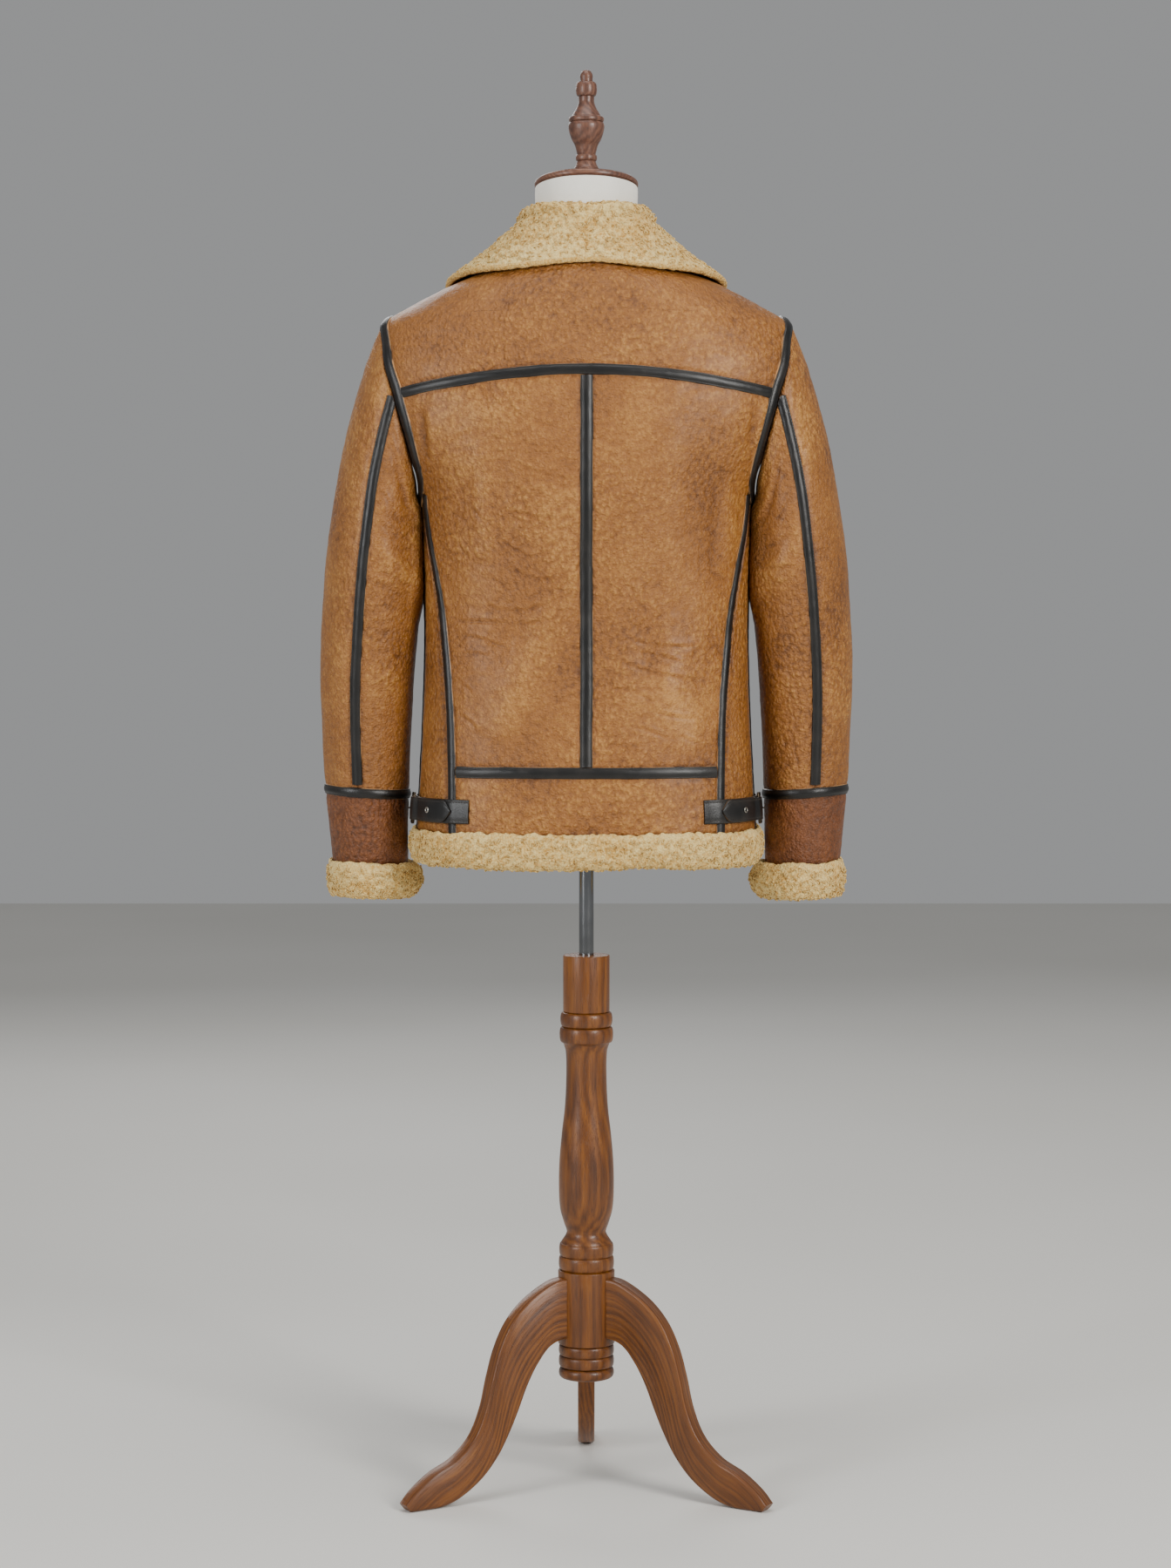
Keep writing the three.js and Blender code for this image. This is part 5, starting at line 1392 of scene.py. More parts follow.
# Side adjusters: on each hip a black strap is stitched over the princess seam. Its pointed tongue goes
# through a dark metal buckle and is held by a prong; a nickel eyelet stands on the tongue.
STRAP_Z = 783
BUCKLE_ANGLE = 81.5
EYELET_ANGLE = 69
STRAP_SECTION = np.array([
    (-1, -0.1), (-1, 1.3), (-0.975, 1.85), (-0.92, 2.15), (-0.85, 2.2), (-0.79, 1.95), (-0.72, 2.2),
    (-0.4, 2.4), (0, 2.45), (0.4, 2.4), (0.72, 2.2), (0.79, 1.95), (0.85, 2.2), (0.92, 2.15),
    (0.975, 1.85), (1, 1.3), (1, -0.1),
])
STRAP = Table(
    "angle half lift",
    (53, 13.4, 0.6),
    (56, 13.5, 1.0),
    (59, 13.5, 2.9),
    (62, 13.5, 3.05),
    (68, 13.5, 3),
    (75, 13.5, 3),
    (82, 13.5, 3),
    (89, 13.5, 3),
    (94, 13.5, 2.9),
    (98, 13.5, 1.1),
    (103, 13.4, 0.6),
)
TONGUE = Table(
    "angle half lift",
    (59.2, 1.2, 5.6),
    (60.2, 6, 5.7),
    (61.4, 10.6, 5.8),
    (62.8, 12.6, 5.8),
    (68, 12.8, 5.8),
    (75, 12.8, 5.9),
    (77.4, 12.8, 9.4),
    (80, 12.8, 9.7),
    (81.9, 12.8, 6.4),
    (82.6, 12.8, 5.8),
)
ALONG_SHORT = 0.35


def metal(name, dark, light, rough):
    """Cast metal with a thin dark plating that is worn bright in spots, and fine tumbling marks."""
    finish = Finish(name, Metallic=1.0)
    place = finish.place()
    clouds = finish.noise(place, 160, 4, 0.6)
    fine = finish.noise(place, 2600, 3, 0.6)
    base = finish.blend((clouds + fine * 0.3).step(0.5, 0.95), dark, light)
    normal = finish.bump(fine * 0.5 + clouds * 0.5, 0.00025)
    return finish.wear(Base_Color=base, Roughness=rough + clouds * 0.2, Normal=normal)


dark_metal = metal("dark_metal", shade_of(58, 50, 42), shade_of(122, 108, 88), 0.24)
nickel = metal("nickel", shade_of(150, 146, 138), shade_of(205, 202, 194), 0.2)


def hip_spot(angle):
    """The point of the body at the strap's height, and the level, upright and outward directions there."""
    at = np.array([angle], float), np.array([STRAP_Z], float)
    along_u, _, normal = (part[0] for part in body_slopes(*at))
    level = along_u / np.linalg.norm(along_u)
    upright_way = np.cross(level, normal)
    return body_point(*at)[0], level, upright_way * np.sign(upright_way[2]), normal


def metal_piece(name, node, points, faces, side, finish):
    piece = build(name, points * [side, 1, 1], faces, [finish], "figure", crisp=60)
    if node:
        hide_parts(node)
    return piece


def rounded_square(half, corner_share=0.55, count=16):
    """A section whose points are cos and sin raised to a power below 1."""
    turn = np.linspace(0, 2 * np.pi, count, endpoint=False)
    c, s = np.cos(turn), np.sin(turn)
    return half * np.stack([np.sign(share) * np.abs(share) ** corner_share for share in (c, s)], -1)


def buckle(name, node, side):
    """A rounded rectangular frame: the path is a superellipse, thickened by a rounded square."""
    spot, level, upward, out = hip_spot(BUCKLE_ANGLE)
    turn = np.linspace(0, 2 * np.pi, 64, endpoint=False)
    c, s = np.cos(turn), np.sin(turn)
    wide = 6.6 * np.sign(c) * np.abs(c) ** 0.28
    tall = 16.6 * np.sign(s) * np.abs(s) ** 0.28
    path = spot + out * 7.4 + level * wide[:, None] + upward * tall[:, None]
    ray = unit(level * np.cos(turn)[:, None] + upward * np.sin(turn)[:, None])
    ahead = unit(np.roll(path, -1, 0) - np.roll(path, 1, 0))
    ray = unit(np.cross(ahead, out) * np.sign((np.cross(ahead, out) * ray).sum(-1, keepdims=True)))
    section_ab = rounded_square(1.35)
    rings = path[:, None] + ray[:, None] * section_ab[:, :1] + out * section_ab[:, 1:]
    metal_piece(name, node, *tube(rings, closed=True), side, dark_metal)
    pin = np.array([(6.9, 8.9), (5.2, 9.9), (2.6, 10.1), (0, 10.6), (-2.6, 12.2), (-5.2, 13.0), (-7.4, 12.9)])
    fine = np.linspace(0, len(pin) - 1, 25)
    reach, lift = (np.interp(fine, np.arange(len(pin)), pin[:, k]) for k in (0, 1))
    line = spot + level * reach[:, None] + out * lift[:, None]
    around = np.radians(np.linspace(0, 360, 10, endpoint=False))
    thick = 0.95 * np.minimum(1, (1.02 - fine / fine[-1]) * 9) ** 0.5
    across = unit(np.cross(np.gradient(line, axis=0), upward))
    spokes = upward * np.cos(around)[:, None] + across[:, None] * np.sin(around)[:, None]
    metal_piece(f"{name}_prong", None, *tube(line[:, None] + spokes * thick[:, None, None]), side, dark_metal)


def eyelet(name, node, side):
    """A ring of round section, flattened, that stands on the tongue."""
    spot, level, upward, out = hip_spot(EYELET_ANGLE)
    turn = np.radians(np.linspace(0, 360, 28, endpoint=False))
    around = np.radians(np.linspace(0, 360, 12, endpoint=False))
    ray = level * np.cos(turn)[:, None] + upward * np.sin(turn)[:, None]
    rings = ray[:, None] * (2.5 + 0.95 * np.cos(around))[:, None] + out * (0.6 * np.sin(around))[:, None]
    metal_piece(name, node, *tube(spot + out * 8.75 + rings, closed=True), side, nickel)


strap_angle = np.arange(53, 103.01, ALONG_SHORT)
tongue_angle = np.arange(59.2, 82.61, ALONG_SHORT)
for side, word in ((1, "left"), (-1, "right")):
    strap = body_strip(f"strap_{word}", f"hip_strap_{word}", places(strap_angle, STRAP_Z),
                       STRAP("half", strap_angle), side, lift=STRAP("lift", strap_angle) + SINK,
                       shape=STRAP_SECTION, seed=160 + side, wobble=0.6)
    tongue = body_strip(f"tongue_{word}", f"strap_tongue_{word}", places(tongue_angle, STRAP_Z),
                        TONGUE("half", tongue_angle), side, lift=TONGUE("lift", tongue_angle) + SINK,
                        shape=STRAP_SECTION, seed=170 + side, wobble=0.4)
    buckle(f"buckle_frame_{word}", f"buckle_{word}", side)
    eyelet(f"nickel_eyelet_{word}", f"eyelet_{word}", side)
    strap_long = span(places(strap_angle, STRAP_Z)) * MM

# Zip: woven black tapes inside the front edges, moulded teeth in dark metal, a slider that closes them up
# to below the collar, and a long pull that hangs from its hinge pin.
ZIP_TAPE_X = 4.7
ZIP_TAPE_HALF = 4.2
ZIP_TAPE_LIFT = -4.6
TOOTH_STEP = 2.7
SLIDER_Z = 1306
TAPE_SECTION = np.array([(-1, 0), (-1, 1.2), (-0.94, 1.5), (0, 1.5), (0.94, 1.5), (1, 1.2), (1, 0)])
tape_cloth = Finish("zip_tape", Specular_IOR_Level=0.25, Sheen_Weight=0.2)
tape_place = tape_cloth.place()
tape_weave = tape_cloth.node(
    "ShaderNodeTexWave",
    {"wave_type": "BANDS", "bands_direction": "DIAGONAL"},
    {"Vector": tape_place, "Scale": 420.0, "Distortion": 0.4},
    "Fac",
)
tape_fuzz = tape_cloth.noise(tape_place, 1600, 3)
tape_cloth = tape_cloth.wear(
    Base_Color=tape_cloth.blend(
        tape_weave * 0.6 + tape_fuzz * 0.4, shade_of(18, 16, 15), shade_of(50, 45, 41)
    ),
    Roughness=0.72 + tape_fuzz * 0.2,
    Normal=tape_cloth.bump(tape_weave * 0.7 + tape_fuzz * 0.3, 0.0004),
)


def front_line(x, z):
    """Polar angle on the front at a distance x from the middle."""
    return angle_at_x(x, z, -1)


def zip_teeth(name, side):
    """One row of teeth: a six-sided outline in the plane of the tape, raised to a prism at every step."""
    outline = np.array(
        [(-0.95, -0.35), (-0.3, -0.85), (3.3, -0.85), (3.3, 0.85), (-0.3, 0.85), (-0.95, 0.35)]
    )
    z = np.arange(HEM_Z + 3, NECKLINE_FRONT_Z - 9, TOOTH_STEP) + (0 if side > 0 else TOOTH_STEP / 2)
    parted = np.clip((z - SLIDER_Z) / 12, 0, 1) * 1.4
    x = outline[None, :, 0] + parted[:, None]
    height = z[:, None] + outline[None, :, 1]
    depth = body_point(180.0, height)
    out = body_slopes(np.full(height.shape, 180.0), height)[2]
    spot = np.stack([x * side, depth[..., 1], height], -1)
    points = np.concatenate([spot + out * -3.5, spot + out * -1.5], 1)
    one = np.array([[0, 1, 2, 5], [2, 3, 4, 5], [6, 7, 8, 11], [8, 9, 10, 11]])
    one[:2] = one[:2, ::-1]
    ring = np.arange(6)
    walls = np.stack([ring, np.roll(ring, -1), np.roll(ring, -1) + 6, ring + 6], -1)
    faces = np.concatenate([one, walls]) + 12 * np.arange(len(z))[:, None, None]
    return build(name, points.reshape(-1, 3), [faces.reshape(-1, 4)], [dark_metal], "figure",
                 crisp=30)


tape_z = np.arange(HEM_Z, neckline_z(178) - 3, 5.0)
for side, word in ((1, "left"), (-1, "right")):
    tape_line = places(front_line(ZIP_TAPE_X, tape_z), tape_z)
    tape = laid_strip(f"woven_tape_{word}", f"zip_tape_{word}", body_point, body_slopes,
                      lambda a, z: 0 * a, tape_line, ZIP_TAPE_HALF, side, lift=ZIP_TAPE_LIFT + SINK,
                      shape=TAPE_SECTION, wobble=0, finish=tape_cloth, slot="zip_tape")
    teeth = zip_teeth(f"zip_teeth_{word}", side)
    span(tape_line) * MM


def softened(name, node, body):
    """A cast copy of a CAD node: its loose triangles are joined, flat faces made whole, and every edge
    rounded by a bevel."""
    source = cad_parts[node]
    mesh = source.data.copy()
    shape = bmesh.new()
    shape.from_mesh(mesh)
    bmesh.ops.remove_doubles(shape, verts=shape.verts, dist=2e-6)
    bmesh.ops.dissolve_limit(shape, angle_limit=0.02, verts=shape.verts, edges=shape.edges)
    shape.to_mesh(mesh)
    shape.free()
    mesh.name = name
    mesh.materials.clear()
    mesh.materials.append(dark_metal)
    mesh.polygons.foreach_set("use_smooth", np.ones(len(mesh.polygons), bool))
    mesh.set_sharp_from_angle(angle=math.radians(35))
    piece = bpy.data.objects.new(name, mesh)
    bpy.context.scene.collection.objects.link(piece)
    bevel = piece.modifiers.new("rounded_edges", "BEVEL")
    bevel.width = 0.00022
    bevel.segments = 2
    bevel.limit_method = "ANGLE"
    bevel.angle_limit = math.radians(40)
    bevel.harden_normals = False
    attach(piece, body)
    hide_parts(node)


softened("cast_slider", "zip_slider", "figure")
softened("cast_pull", "zip_pull", "pull")

# Hem wool: a roll of curly sheepskin, turned up inside the hem and open at the zip. The body of the wool
# is a skin raised in tufts, and short curled locks lie on it.
HEM_ROLL = np.array(
    [(-10, -0.8), (0.7, -0.9), (3.4, 2.6), (7.2, -3), (8.4, -18), (5, -31.5), (-3, -36.5), (-10, -26)]
)
TUFT = 7.0


def rounded(outline, count):
    """A smooth closed curve through an outline's points: between two of them the cubic whose slopes are
    half the steps between their neighbours. Its points are an even distance apart."""
    t = np.linspace(0, len(outline), 40 * len(outline), endpoint=False)
    i = t.astype(int)
    f = (t - i)[:, None]
    p0, p1, p2, p3 = (outline[(i + k) % len(outline)] for k in (-1, 0, 1, 2))
    curve = p1 + f * (p2 - p0) / 2 + f**2 * (p0 - 2.5 * p1 + 2 * p2 - p3 / 2)
    curve = curve + f**3 * (1.5 * (p1 - p2) + (p3 - p0) / 2)
    closed = np.vstack([curve, curve[:1]])
    run = np.append(0, np.cumsum(np.linalg.norm(np.diff(closed, axis=0), axis=1)))
    at = np.linspace(0, run[-1], count, endpoint=False)
    return np.stack([np.interp(at, run, closed[:, k]) for k in (0, 1)], -1), at


def tufts(x, y, size, seed):
    """Heights from 0 to 1 of round tufts: the highest of the paraboloids that stand at the jittered points
    of a square lattice round each place."""
    rng = np.random.default_rng(seed)
    shift_x, shift_y = rng.uniform(0.12, 0.88, (2, 128, 128))
    tall = rng.uniform(0.55, 1, (128, 128))
    i, j = np.floor(x / size).astype(int), np.floor(y / size).astype(int)
    best = np.zeros(np.broadcast(x, y).shape)
    for a in (-1, 0, 1):
        for b in (-1, 0, 1):
            cell = (i + a) % 128, (j + b) % 128
            dx = x / size - (i + a + shift_x[cell])
            dy = y / size - (j + b + shift_y[cell])
            best = np.maximum(best, tall[cell] * (1 - 1.15 * (dx**2 + dy**2)))
    return best


def fleece(x, y, seed):
    """Height of the wool: large tufts, smaller ones on them, and a slow swell."""
    bent_x = x + 2.2 * drift(x, y, 11, seed + 5)
    bent_y = y + 2.2 * drift(x, y, 11, seed + 6)
    high = 2.3 * tufts(bent_x, bent_y, TUFT, seed) + 1.0 * tufts(bent_x, bent_y, 3.9, seed + 1)
    return high + 0.7 * drift(x, y, 31, seed + 2) - 1.4


def curled_locks(name, points, normals, spacing, seed, body, where=None):
    """Short locks that lie on the wool. Each one's middle line is an arc in the plane of the surface that
    rises and falls as a sine; its round section thins towards the tip. Roots are drawn evenly by area."""
    rng = np.random.default_rng(seed)
    a, b, c, d = points[:-1, :-1], points[1:, :-1], points[1:, 1:], points[:-1, 1:]
    area = np.linalg.norm(np.cross(c - a, d - b), axis=-1) / 2
    if where is not None:
        area = area * where[:-1, :-1]
    total = area.ravel().cumsum()
    count = int(total[-1] / spacing**2)
    cell = np.searchsorted(total, (np.arange(count) + rng.uniform(0, 1, count)) * total[-1] / count)
    i, j = np.unravel_index(np.minimum(cell, area.size - 1), area.shape)
    u, v = rng.uniform(0, 1, (2, count, 1))
    root = (a[i, j] * (1 - u) + b[i, j] * u) * (1 - v) + (d[i, j] * (1 - u) + c[i, j] * u) * v
    out = normals[i, j]
    level = unit(np.cross(out, [0.31, 0.12, 0.94]))
    other = np.cross(out, level)
    start = rng.uniform(0, 2 * np.pi, (count, 1))
    sweep = rng.uniform(3.4, 5.4, (count, 1)) * rng.choice([-1, 1], (count, 1))
    radius = rng.uniform(1.5, 2.7, (count, 1)) * (spacing / 5.5) ** 0.5
    t = np.linspace(0, 1, 6)[None]
    angle = start + sweep * t
    spiral = radius * (1 - 0.38 * t)
    ray = level[:, None] * np.cos(angle)[..., None] + other[:, None] * np.sin(angle)[..., None]
    rise = rng.uniform(0.5, 1.5, (count, 1)) * np.sin(np.pi * (0.1 + 0.75 * t)) - 0.35
    line = root[:, None] + ray * spiral[..., None] + out[:, None] * rise[..., None]
    thick = rng.uniform(0.85, 1.2, (count, 1)) * (1 - 0.55 * t**1.6) * (0.75 + 0.25 * np.sin(np.pi * t))
    turn = np.radians([0, 90, 180, 270])
    ring = ray[:, :, None] * np.cos(turn)[:, None] + out[:, None, None] * np.sin(turn)[:, None]
    rings = line[:, :, None] + ring * thick[..., None, None]
    per = 6 * 4 + 2
    body_points = np.concatenate([rings.reshape(count, -1, 3), line[:, :1], line[:, -1:]], 1)
    one = [net(6, 4, wrap_rows=True), fan(np.arange(4), 24), fan(np.arange(23, 19, -1), 25)]
    shift = per * np.arange(count)[:, None, None]
    faces = [(group[None] + shift).reshape(-1, group.shape[1]) for group in one]
    # Painted light along each lock: painted shade at the root, where it lies in the wool, growing to painted
    # highlight at the tip.
    tip = np.concatenate([np.repeat(0.25 + 0.75 * t, 4, 1), [[0.25, 1.0]]], 1)
    tip = np.tile(tip, (count, 1)) * rng.uniform(0.75, 1.15, (count, 1))
    marks = {"tip": tip.ravel()}
    return build(name, body_points.reshape(-1, 3), faces, [wool], body, marks=marks)


def section_normals(section):
    """Outward normals of a closed section, from the steps between the neighbours of each point."""
    step = np.roll(section, -1, 0) - np.roll(section, 1, 0)
    normal = unit(np.stack([step[:, 1], -step[:, 0]], -1))
    middle = section.mean(0)
    return normal * np.sign(((section - middle) * normal).sum())


def wool_roll(name, node, edge, away, run, section, section_run, full, seed, closed):
    """A section carried along an edge, its first number away from the edge and its second one up. The wool
    stands out along the section's own normal."""
    up = np.array([0, 0, 1.0])
    flat = section_normals(section)
    x, y = run[:, None], section_run[None]
    swell = 1 + 0.07 * drift(x, y * 0, 43, seed + 11) + 0.05 * drift(x, y, 19, seed + 12)
    out = section[None, :, 0] * swell * full[:, None]
    rise = section[None, :, 1] * (0.985 + 0.03 * drift(x, y * 0, 57, seed + 13))
    lapped = np.exp(-(((section[:, 0] - 4) ** 2 + (section[:, 1] - 1) ** 2) / 14))
    rise = rise + 1.6 * lapped * (drift(x, y * 0, 9, seed + 14) + 0.8 * drift(x, y * 0, 4, seed + 15))
    plain = edge[:, None] + away[:, None] * out[..., None] + up * rise[..., None]
    normal = unit(away[:, None] * flat[None, :, :1] + up * flat[None, :, 1:])
    if closed:
        lap = ease((run - run[-1] + 30) / 30)[:, None]
        height = fleece(x, y, seed) * (1 - lap) + fleece(x - run[-1], y, seed) * lap
    else:
        height = fleece(x, y, seed)
    buried = (ease((section[:, 1] + 4) / 4) * ease((2.5 - section[:, 0]) / 2))[None]
    height = height * (1 - 0.75 * buried) - 0.6 * buried
    rings = plain + normal * height[..., None]
    points, faces = tube(rings[:-1] if closed else rings, closed)
    # The tip mark follows the fleece's height: painted highlight on the tops of the tufts, and painted shade
    # in the hollows between them and where the roll is pressed in against the leather.
    tip = (0.12 + 0.24 * (height + 1.4)).ravel()
    tip = tip[: len(points)] if closed else np.append(tip, [0.5, 0.5])
    piece = build(name, points, faces, [wool], "figure", marks={"tip": tip})
    open_air = np.broadcast_to((section[None, :, 0] > -8) * (section[None, :, 1] < -2.5) * 1.0, height.shape)
    curls = curled_locks(f"{name}_curls", rings, normal, 5.2, seed + 20, "figure", open_air)
    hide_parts(node)
    return piece


hem_section, hem_section_run = rounded(HEM_ROLL, 52)
hem_open = angle_at_x(2.5, HEM_Z, -1)
hem_line = spaced(level(-hem_open, hem_open, HEM_Z, 900), 2.0)
hem_edge = body_point(hem_line[:, 0], hem_line[:, 1])
hem_away = body_slopes(hem_line[:, 0], hem_line[:, 1])[2] * [1, 1, 0]
hem_run = np.append(0, np.cumsum(np.linalg.norm(np.diff(hem_edge, axis=0), axis=1)))
wool_roll("wool_hem", "hem_wool", hem_edge, unit(hem_away), hem_run, hem_section, hem_section_run,
          np.ones(len(hem_run)), 201, False)

# Cuff wool: the same sheepskin turned out at each wrist, in a roll that is fuller on the body's side.
CUFF_ROLL = np.array(
    [(-8, -0.8), (0.9, -0.9), (4.4, 3), (9.5, -2), (12.4, -16), (9.5, -29), (1, -37), (-9, -24)]
)
cuff_section, cuff_section_run = rounded(CUFF_ROLL, 50)
cuff_turn = np.linspace(0, 360, 136)
for side, word in ((1, "left"), (-1, "right")):
    cuff_edge = sleeve_point(cuff_turn, np.full(136, float(WRIST_RING)))
    cuff_away = unit(cuff_edge - sleeve_middle(np.full(136, float(WRIST_RING))))
    cuff_run = np.append(0, np.cumsum(np.linalg.norm(np.diff(cuff_edge, axis=0), axis=1)))
    flip = np.array([side, 1, 1])
    wool_roll(f"wool_cuff_{word}", f"cuff_wool_{word}", cuff_edge * flip, cuff_away * flip, cuff_run,
              cuff_section, cuff_section_run, 0.85 - 0.4 * np.cos(np.radians(cuff_turn)), 231 + 10 * side,
              True)

# Collar: one folded sheepskin, sewn to the neck seam. Its wool is on the neck's side of the stand and goes
# over the fold to the outside of the fall; the leather is underneath. A seam runs down the centre back.
COLLAR_ROWS = (
    (0, 0, 1402, 0, 71.5, 1453.5, 0, 1390),
    (0.25, 45, 1402, 45, 71.5, 1455, 48, 1382),
    (0.5, 90, 1402, 90, 71, 1448, 88, 1373),
    (0.68, 124, 1391, 124, 79, 1437, 117, 1348),
    (0.84, 150, 1367, 150, 97, 1408, 136, 1312),
    (1, 172, 1341, 171, 119, 1366, 150, 1272),
)
COLLAR = Table(
    "share neck neck_z fold reach fold_z edge edge_z",
    *[np.multiply(row, [-1, -1, 1, -1, 1, 1, -1, 1]) for row in COLLAR_ROWS[:0:-1]],
    *COLLAR_ROWS,
)
COLLAR_HALF = Table(
    "row half",
    (0, 3),
    (1, 4.3),
    (2, 4.5),
    (3, 4.7),
    (4, 5),
    (5, 5),
    (6, 5),
    (7, 4.9),
    (8, 4.7),
    (9, 2.9),
)
COLLAR_FOLD = 8
COLLAR_END = 8.78


def collar_lines(share):
    """Ten points from the neck seam up the stand, over a rounded fold and down to the collar's edge."""
    fold = np.radians(COLLAR("fold", share))
    away = np.stack([np.sin(fold), np.cos(fold), 0 * fold], -1)
    up = np.array([0, 0, 1.0])
    crest = away * COLLAR("reach", share)[:, None] + up * COLLAR("fold_z", share)[:, None]
    neck, neck_z = COLLAR("neck", share), COLLAR("neck_z", share)
    neck_out = body_slopes(neck, neck_z)[2]
    lift = unit(up - neck_out * neck_out[:, 2:])
    foot = body_point(neck, neck_z) - neck_out * 4.5 + lift * 2.4
    edge_at = COLLAR("edge", share), COLLAR("edge_z", share)
    edge = body_point(*edge_at) + body_slopes(*edge_at)[2] * 6.1

    def beside(out, drop):
        return crest + away * out - up * drop

    bend = 0.7 * COLLAR_FOLD
    stand_top = beside(-COLLAR_FOLD, COLLAR_FOLD + 1)
    fall_top = beside(COLLAR_FOLD, COLLAR_FOLD + 1)
    return np.stack(
        [
            foot,
            (foot + stand_top) / 2,
            stand_top,
            beside(-bend, COLLAR_FOLD - bend),
            crest,
            beside(bend, COLLAR_FOLD - bend),
            fall_top,
            fall_top * 0.67 + edge * 0.33 + up * 1.5,
            fall_top * 0.33 + edge * 0.67 + up * 1.5,
            edge,
        ],
        1,
    )


def smooth_rows(lines, row):
    """Points between the ten of each line: the cubic whose slopes are half the steps between neighbours."""
    i = np.clip(row.astype(int), 0, lines.shape[1] - 2)
    f = (row - i)[None, :, None]
    before, after = np.maximum(i - 1, 0), np.minimum(i + 2, lines.shape[1] - 1)
    p1, p2 = lines[:, i], lines[:, i + 1]
    s1, s2 = (p2 - lines[:, before]) / 2, (lines[:, after] - p1) / 2
    return (p1 * (2 * f**3 - 3 * f**2 + 1) + s1 * (f**3 - 2 * f**2 + f)
            + p2 * (3 * f**2 - 2 * f**3) + s2 * (f**3 - f**2))


def even_rows(lines, step):
    """Row numbers that are about the same distance apart along the middle line."""
    row = np.linspace(0, COLLAR_END, 300)
    middle = smooth_rows(lines[len(lines) // 4 : len(lines) // 4 + 1], row)[0]
    run = np.append(0, np.cumsum(np.linalg.norm(np.diff(middle, axis=0), axis=1)))
    return np.interp(np.linspace(0, run[-1], int(run[-1] / step) + 2), run, row)


share = np.linspace(-1, 1, 321)
collar_ten = collar_lines(share)
collar_row = even_rows(collar_ten, 2.1)
collar_middle = smooth_rows(collar_ten, collar_row)
drawn = 6.5 * ease((collar_row - 4) / 2) * ease((9.2 - collar_row) / 2)
collar_middle = collar_middle - (collar_middle * [1, 1, 0]) * (drawn / 100)[None, :, None]
collar_along = np.gradient(collar_middle, axis=0)
collar_down = np.gradient(collar_middle, axis=1)
wool_out = unit(np.cross(collar_along, collar_down))
collar_x = run_of(collar_middle, 0)
collar_x = collar_x - collar_x[len(share) // 2]
collar_y = run_of(collar_middle, 1)
closing = np.sqrt(np.maximum(1 - ((np.abs(share) - 0.982) / 0.018).clip(0, 1) ** 2, 0.02))[:, None]
half = COLLAR_HALF("half", collar_row)[None] * closing
seam = np.exp(-((collar_x / 2.4) ** 2)) * (0.55 + 0.45 * drift(collar_y, 0 * collar_y, 7, 3))
wool_high = fleece(collar_x, collar_y, 301) * (1 - 0.5 * seam) - 1.2 * seam
roll_over = np.exp(-((collar_y[:, -1:] - collar_y) / 14) ** 2)
wool_high = (wool_high + 0.5 * roll_over) * closing
slim = 1 - 0.4 * ease((collar_row - 3.6) / 1.2)
fur = collar_middle + wool_out * (half * slim + wool_high - 0.4)[..., None]
skin = collar_middle - wool_out * (0.8 * half)[..., None]
lip_turn = np.radians(np.linspace(18, 162, 7))
lip_ray = unit(collar_middle[:, -1] - collar_middle[:, -2])
lip_high = half[:, -1:] * 0.95 + 0.45 * (1 + np.sin(lip_turn)) * (
    1.2 + fleece(collar_x[:, -1:], collar_y[:, -1:] + 5 * lip_turn, 301)
) * closing
lip = collar_middle[:, -1:] + (
    wool_out[:, -1:] * np.cos(lip_turn)[:, None] + lip_ray[:, None] * np.sin(lip_turn)[:, None]
) * lip_high[..., None]
collar_rings = np.concatenate([fur, lip, skin[:, ::-1]], 1)
furred = fur.shape[1] + lip.shape[1]
collar_points, collar_faces = tube(collar_rings)
around = collar_rings.shape[1]
sides = collar_faces[0].reshape(-1, around, 4)
collar_faces = [
    sides[:, : furred - 1].reshape(-1, 4),
    sides[:, furred - 1 :].reshape(-1, 4),
    *collar_faces[1:],
]
collar_tip = np.full(collar_rings.shape[:2], 0.4)
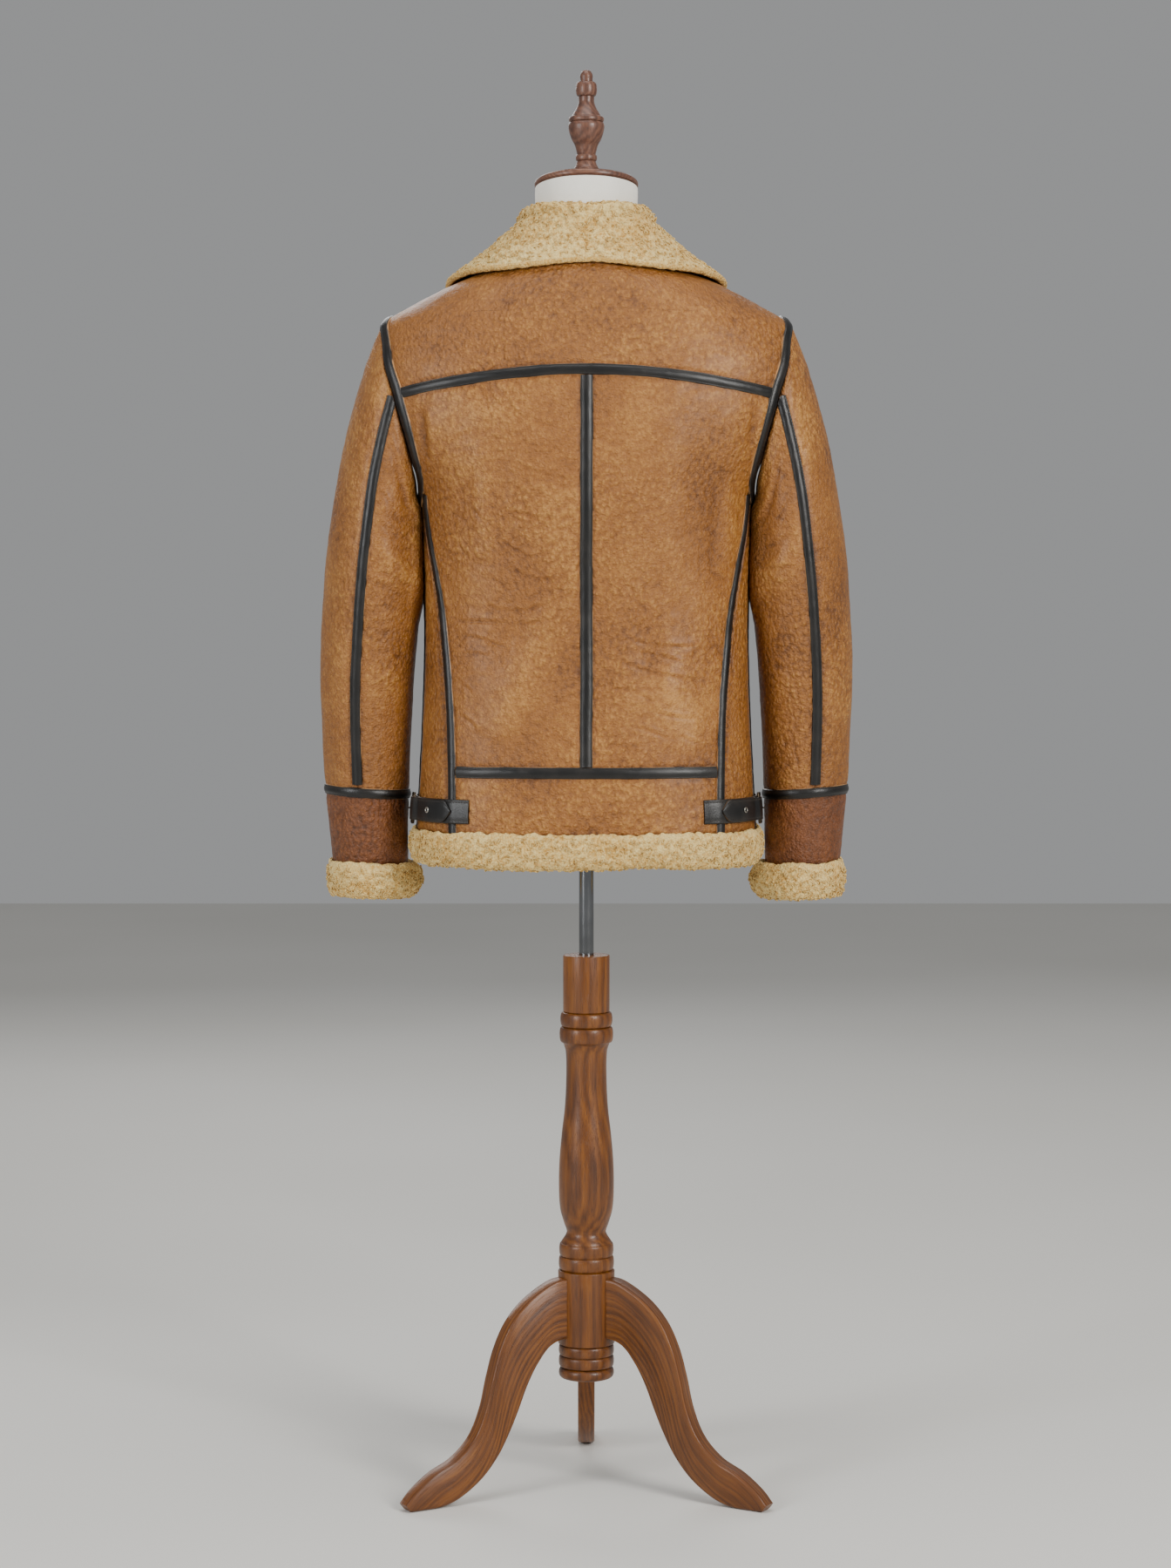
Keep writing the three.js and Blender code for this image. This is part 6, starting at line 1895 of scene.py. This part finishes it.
# The tip mark follows the wool's height: painted highlight on the tops of the tufts and painted shade in the
# hollows; it is also darker along the centre seam.
collar_tip[:, : fur.shape[1]] = 0.12 + 0.24 * (wool_high + 1.4) - 0.12 * seam
marks = {
    "tip": np.append(collar_tip.ravel(), [0.5, 0.5]),
    "tone": np.full(len(collar_points), 0.45),
}
collar = build("wool_collar", collar_points, collar_faces, [wool, tan_dark], "figure",
               kinds=(0, 1, 0, 0), marks=marks)
clear_of_seam = (np.abs(collar_x) > 1.2) * (closing > 0.6) * 1.0
collar_curls = curled_locks("wool_collar_curls", fur, wool_out, 5.6, 331, "figure", clear_of_seam)
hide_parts("collar")
cross = np.cross(
    collar_middle[1:, 1:] - collar_middle[:-1, :-1],
    collar_middle[:-1, 1:] - collar_middle[1:, :-1],
)

# Studio: a plain pale floor, and soft light from two large boxes behind the camera's shoulders, one over
# the coat and a weak one on its front.
floor_points = np.array([[-9, -7, 0], [9, -7, 0], [9, 9, 0], [-9, 9, 0]], float) - [0, 0, 0.0006]
floor_mesh = bpy.data.meshes.new("studio_floor")
floor_mesh.from_pydata(floor_points.tolist(), [], [(0, 1, 2, 3)])
floor = bpy.data.objects.new("studio_floor", floor_mesh)
bpy.context.scene.collection.objects.link(floor)
floor_finish = Finish("studio_floor", Roughness=0.85, Specular_IOR_Level=0.2)
floor_tone = floor_finish.noise(floor_finish.place(), 0.8, 2) - 0.5
floor_mesh.materials.append(
    floor_finish.wear(
        Base_Color=floor_finish.blend(
            floor_tone.step(-0.4, 0.4), shade_of(214, 212, 206), shade_of(222, 220, 215)
        )
    )
)


def softbox(name, place, aim, width, height, watts, colour=(1, 1, 1)):
    light = bpy.data.lights.new(name, "AREA")
    light.shape = "RECTANGLE"
    light.size = width
    light.size_y = height
    light.energy = watts
    light.color = colour
    lamp = bpy.data.objects.new(name, light)
    lamp.location = place
    direction = np.subtract(aim, place)
    flat = math.hypot(direction[0], direction[1])
    lamp.rotation_euler = (math.atan2(flat, -direction[2]), 0, math.atan2(-direction[0], direction[1]))
    bpy.context.scene.collection.objects.link(lamp)


softbox("key", (-2.3, 2.9, 2.2), (0, AXIS_Y, 1.05), 1.2, 1.8, 138, (1, 0.985, 0.96))
softbox("fill", (2.6, 2.4, 1.7), (0, AXIS_Y, 1.05), 1.1, 1.8, 74, (0.97, 0.985, 1))
softbox("top", (0, 0.6, 3.6), (0, AXIS_Y, 1.0), 2.2, 1.6, 40)
softbox("front", (0.6, -3.4, 2.8), (0, AXIS_Y, 1.0), 2.2, 1.5, 45)
world = bpy.data.worlds.new("studio")
world.use_nodes = True
world.node_tree.nodes["Background"].inputs["Color"].default_value = (0.86, 0.87, 0.88, 1)
world.node_tree.nodes["Background"].inputs["Strength"].default_value = 0.36
bpy.context.scene.world = world
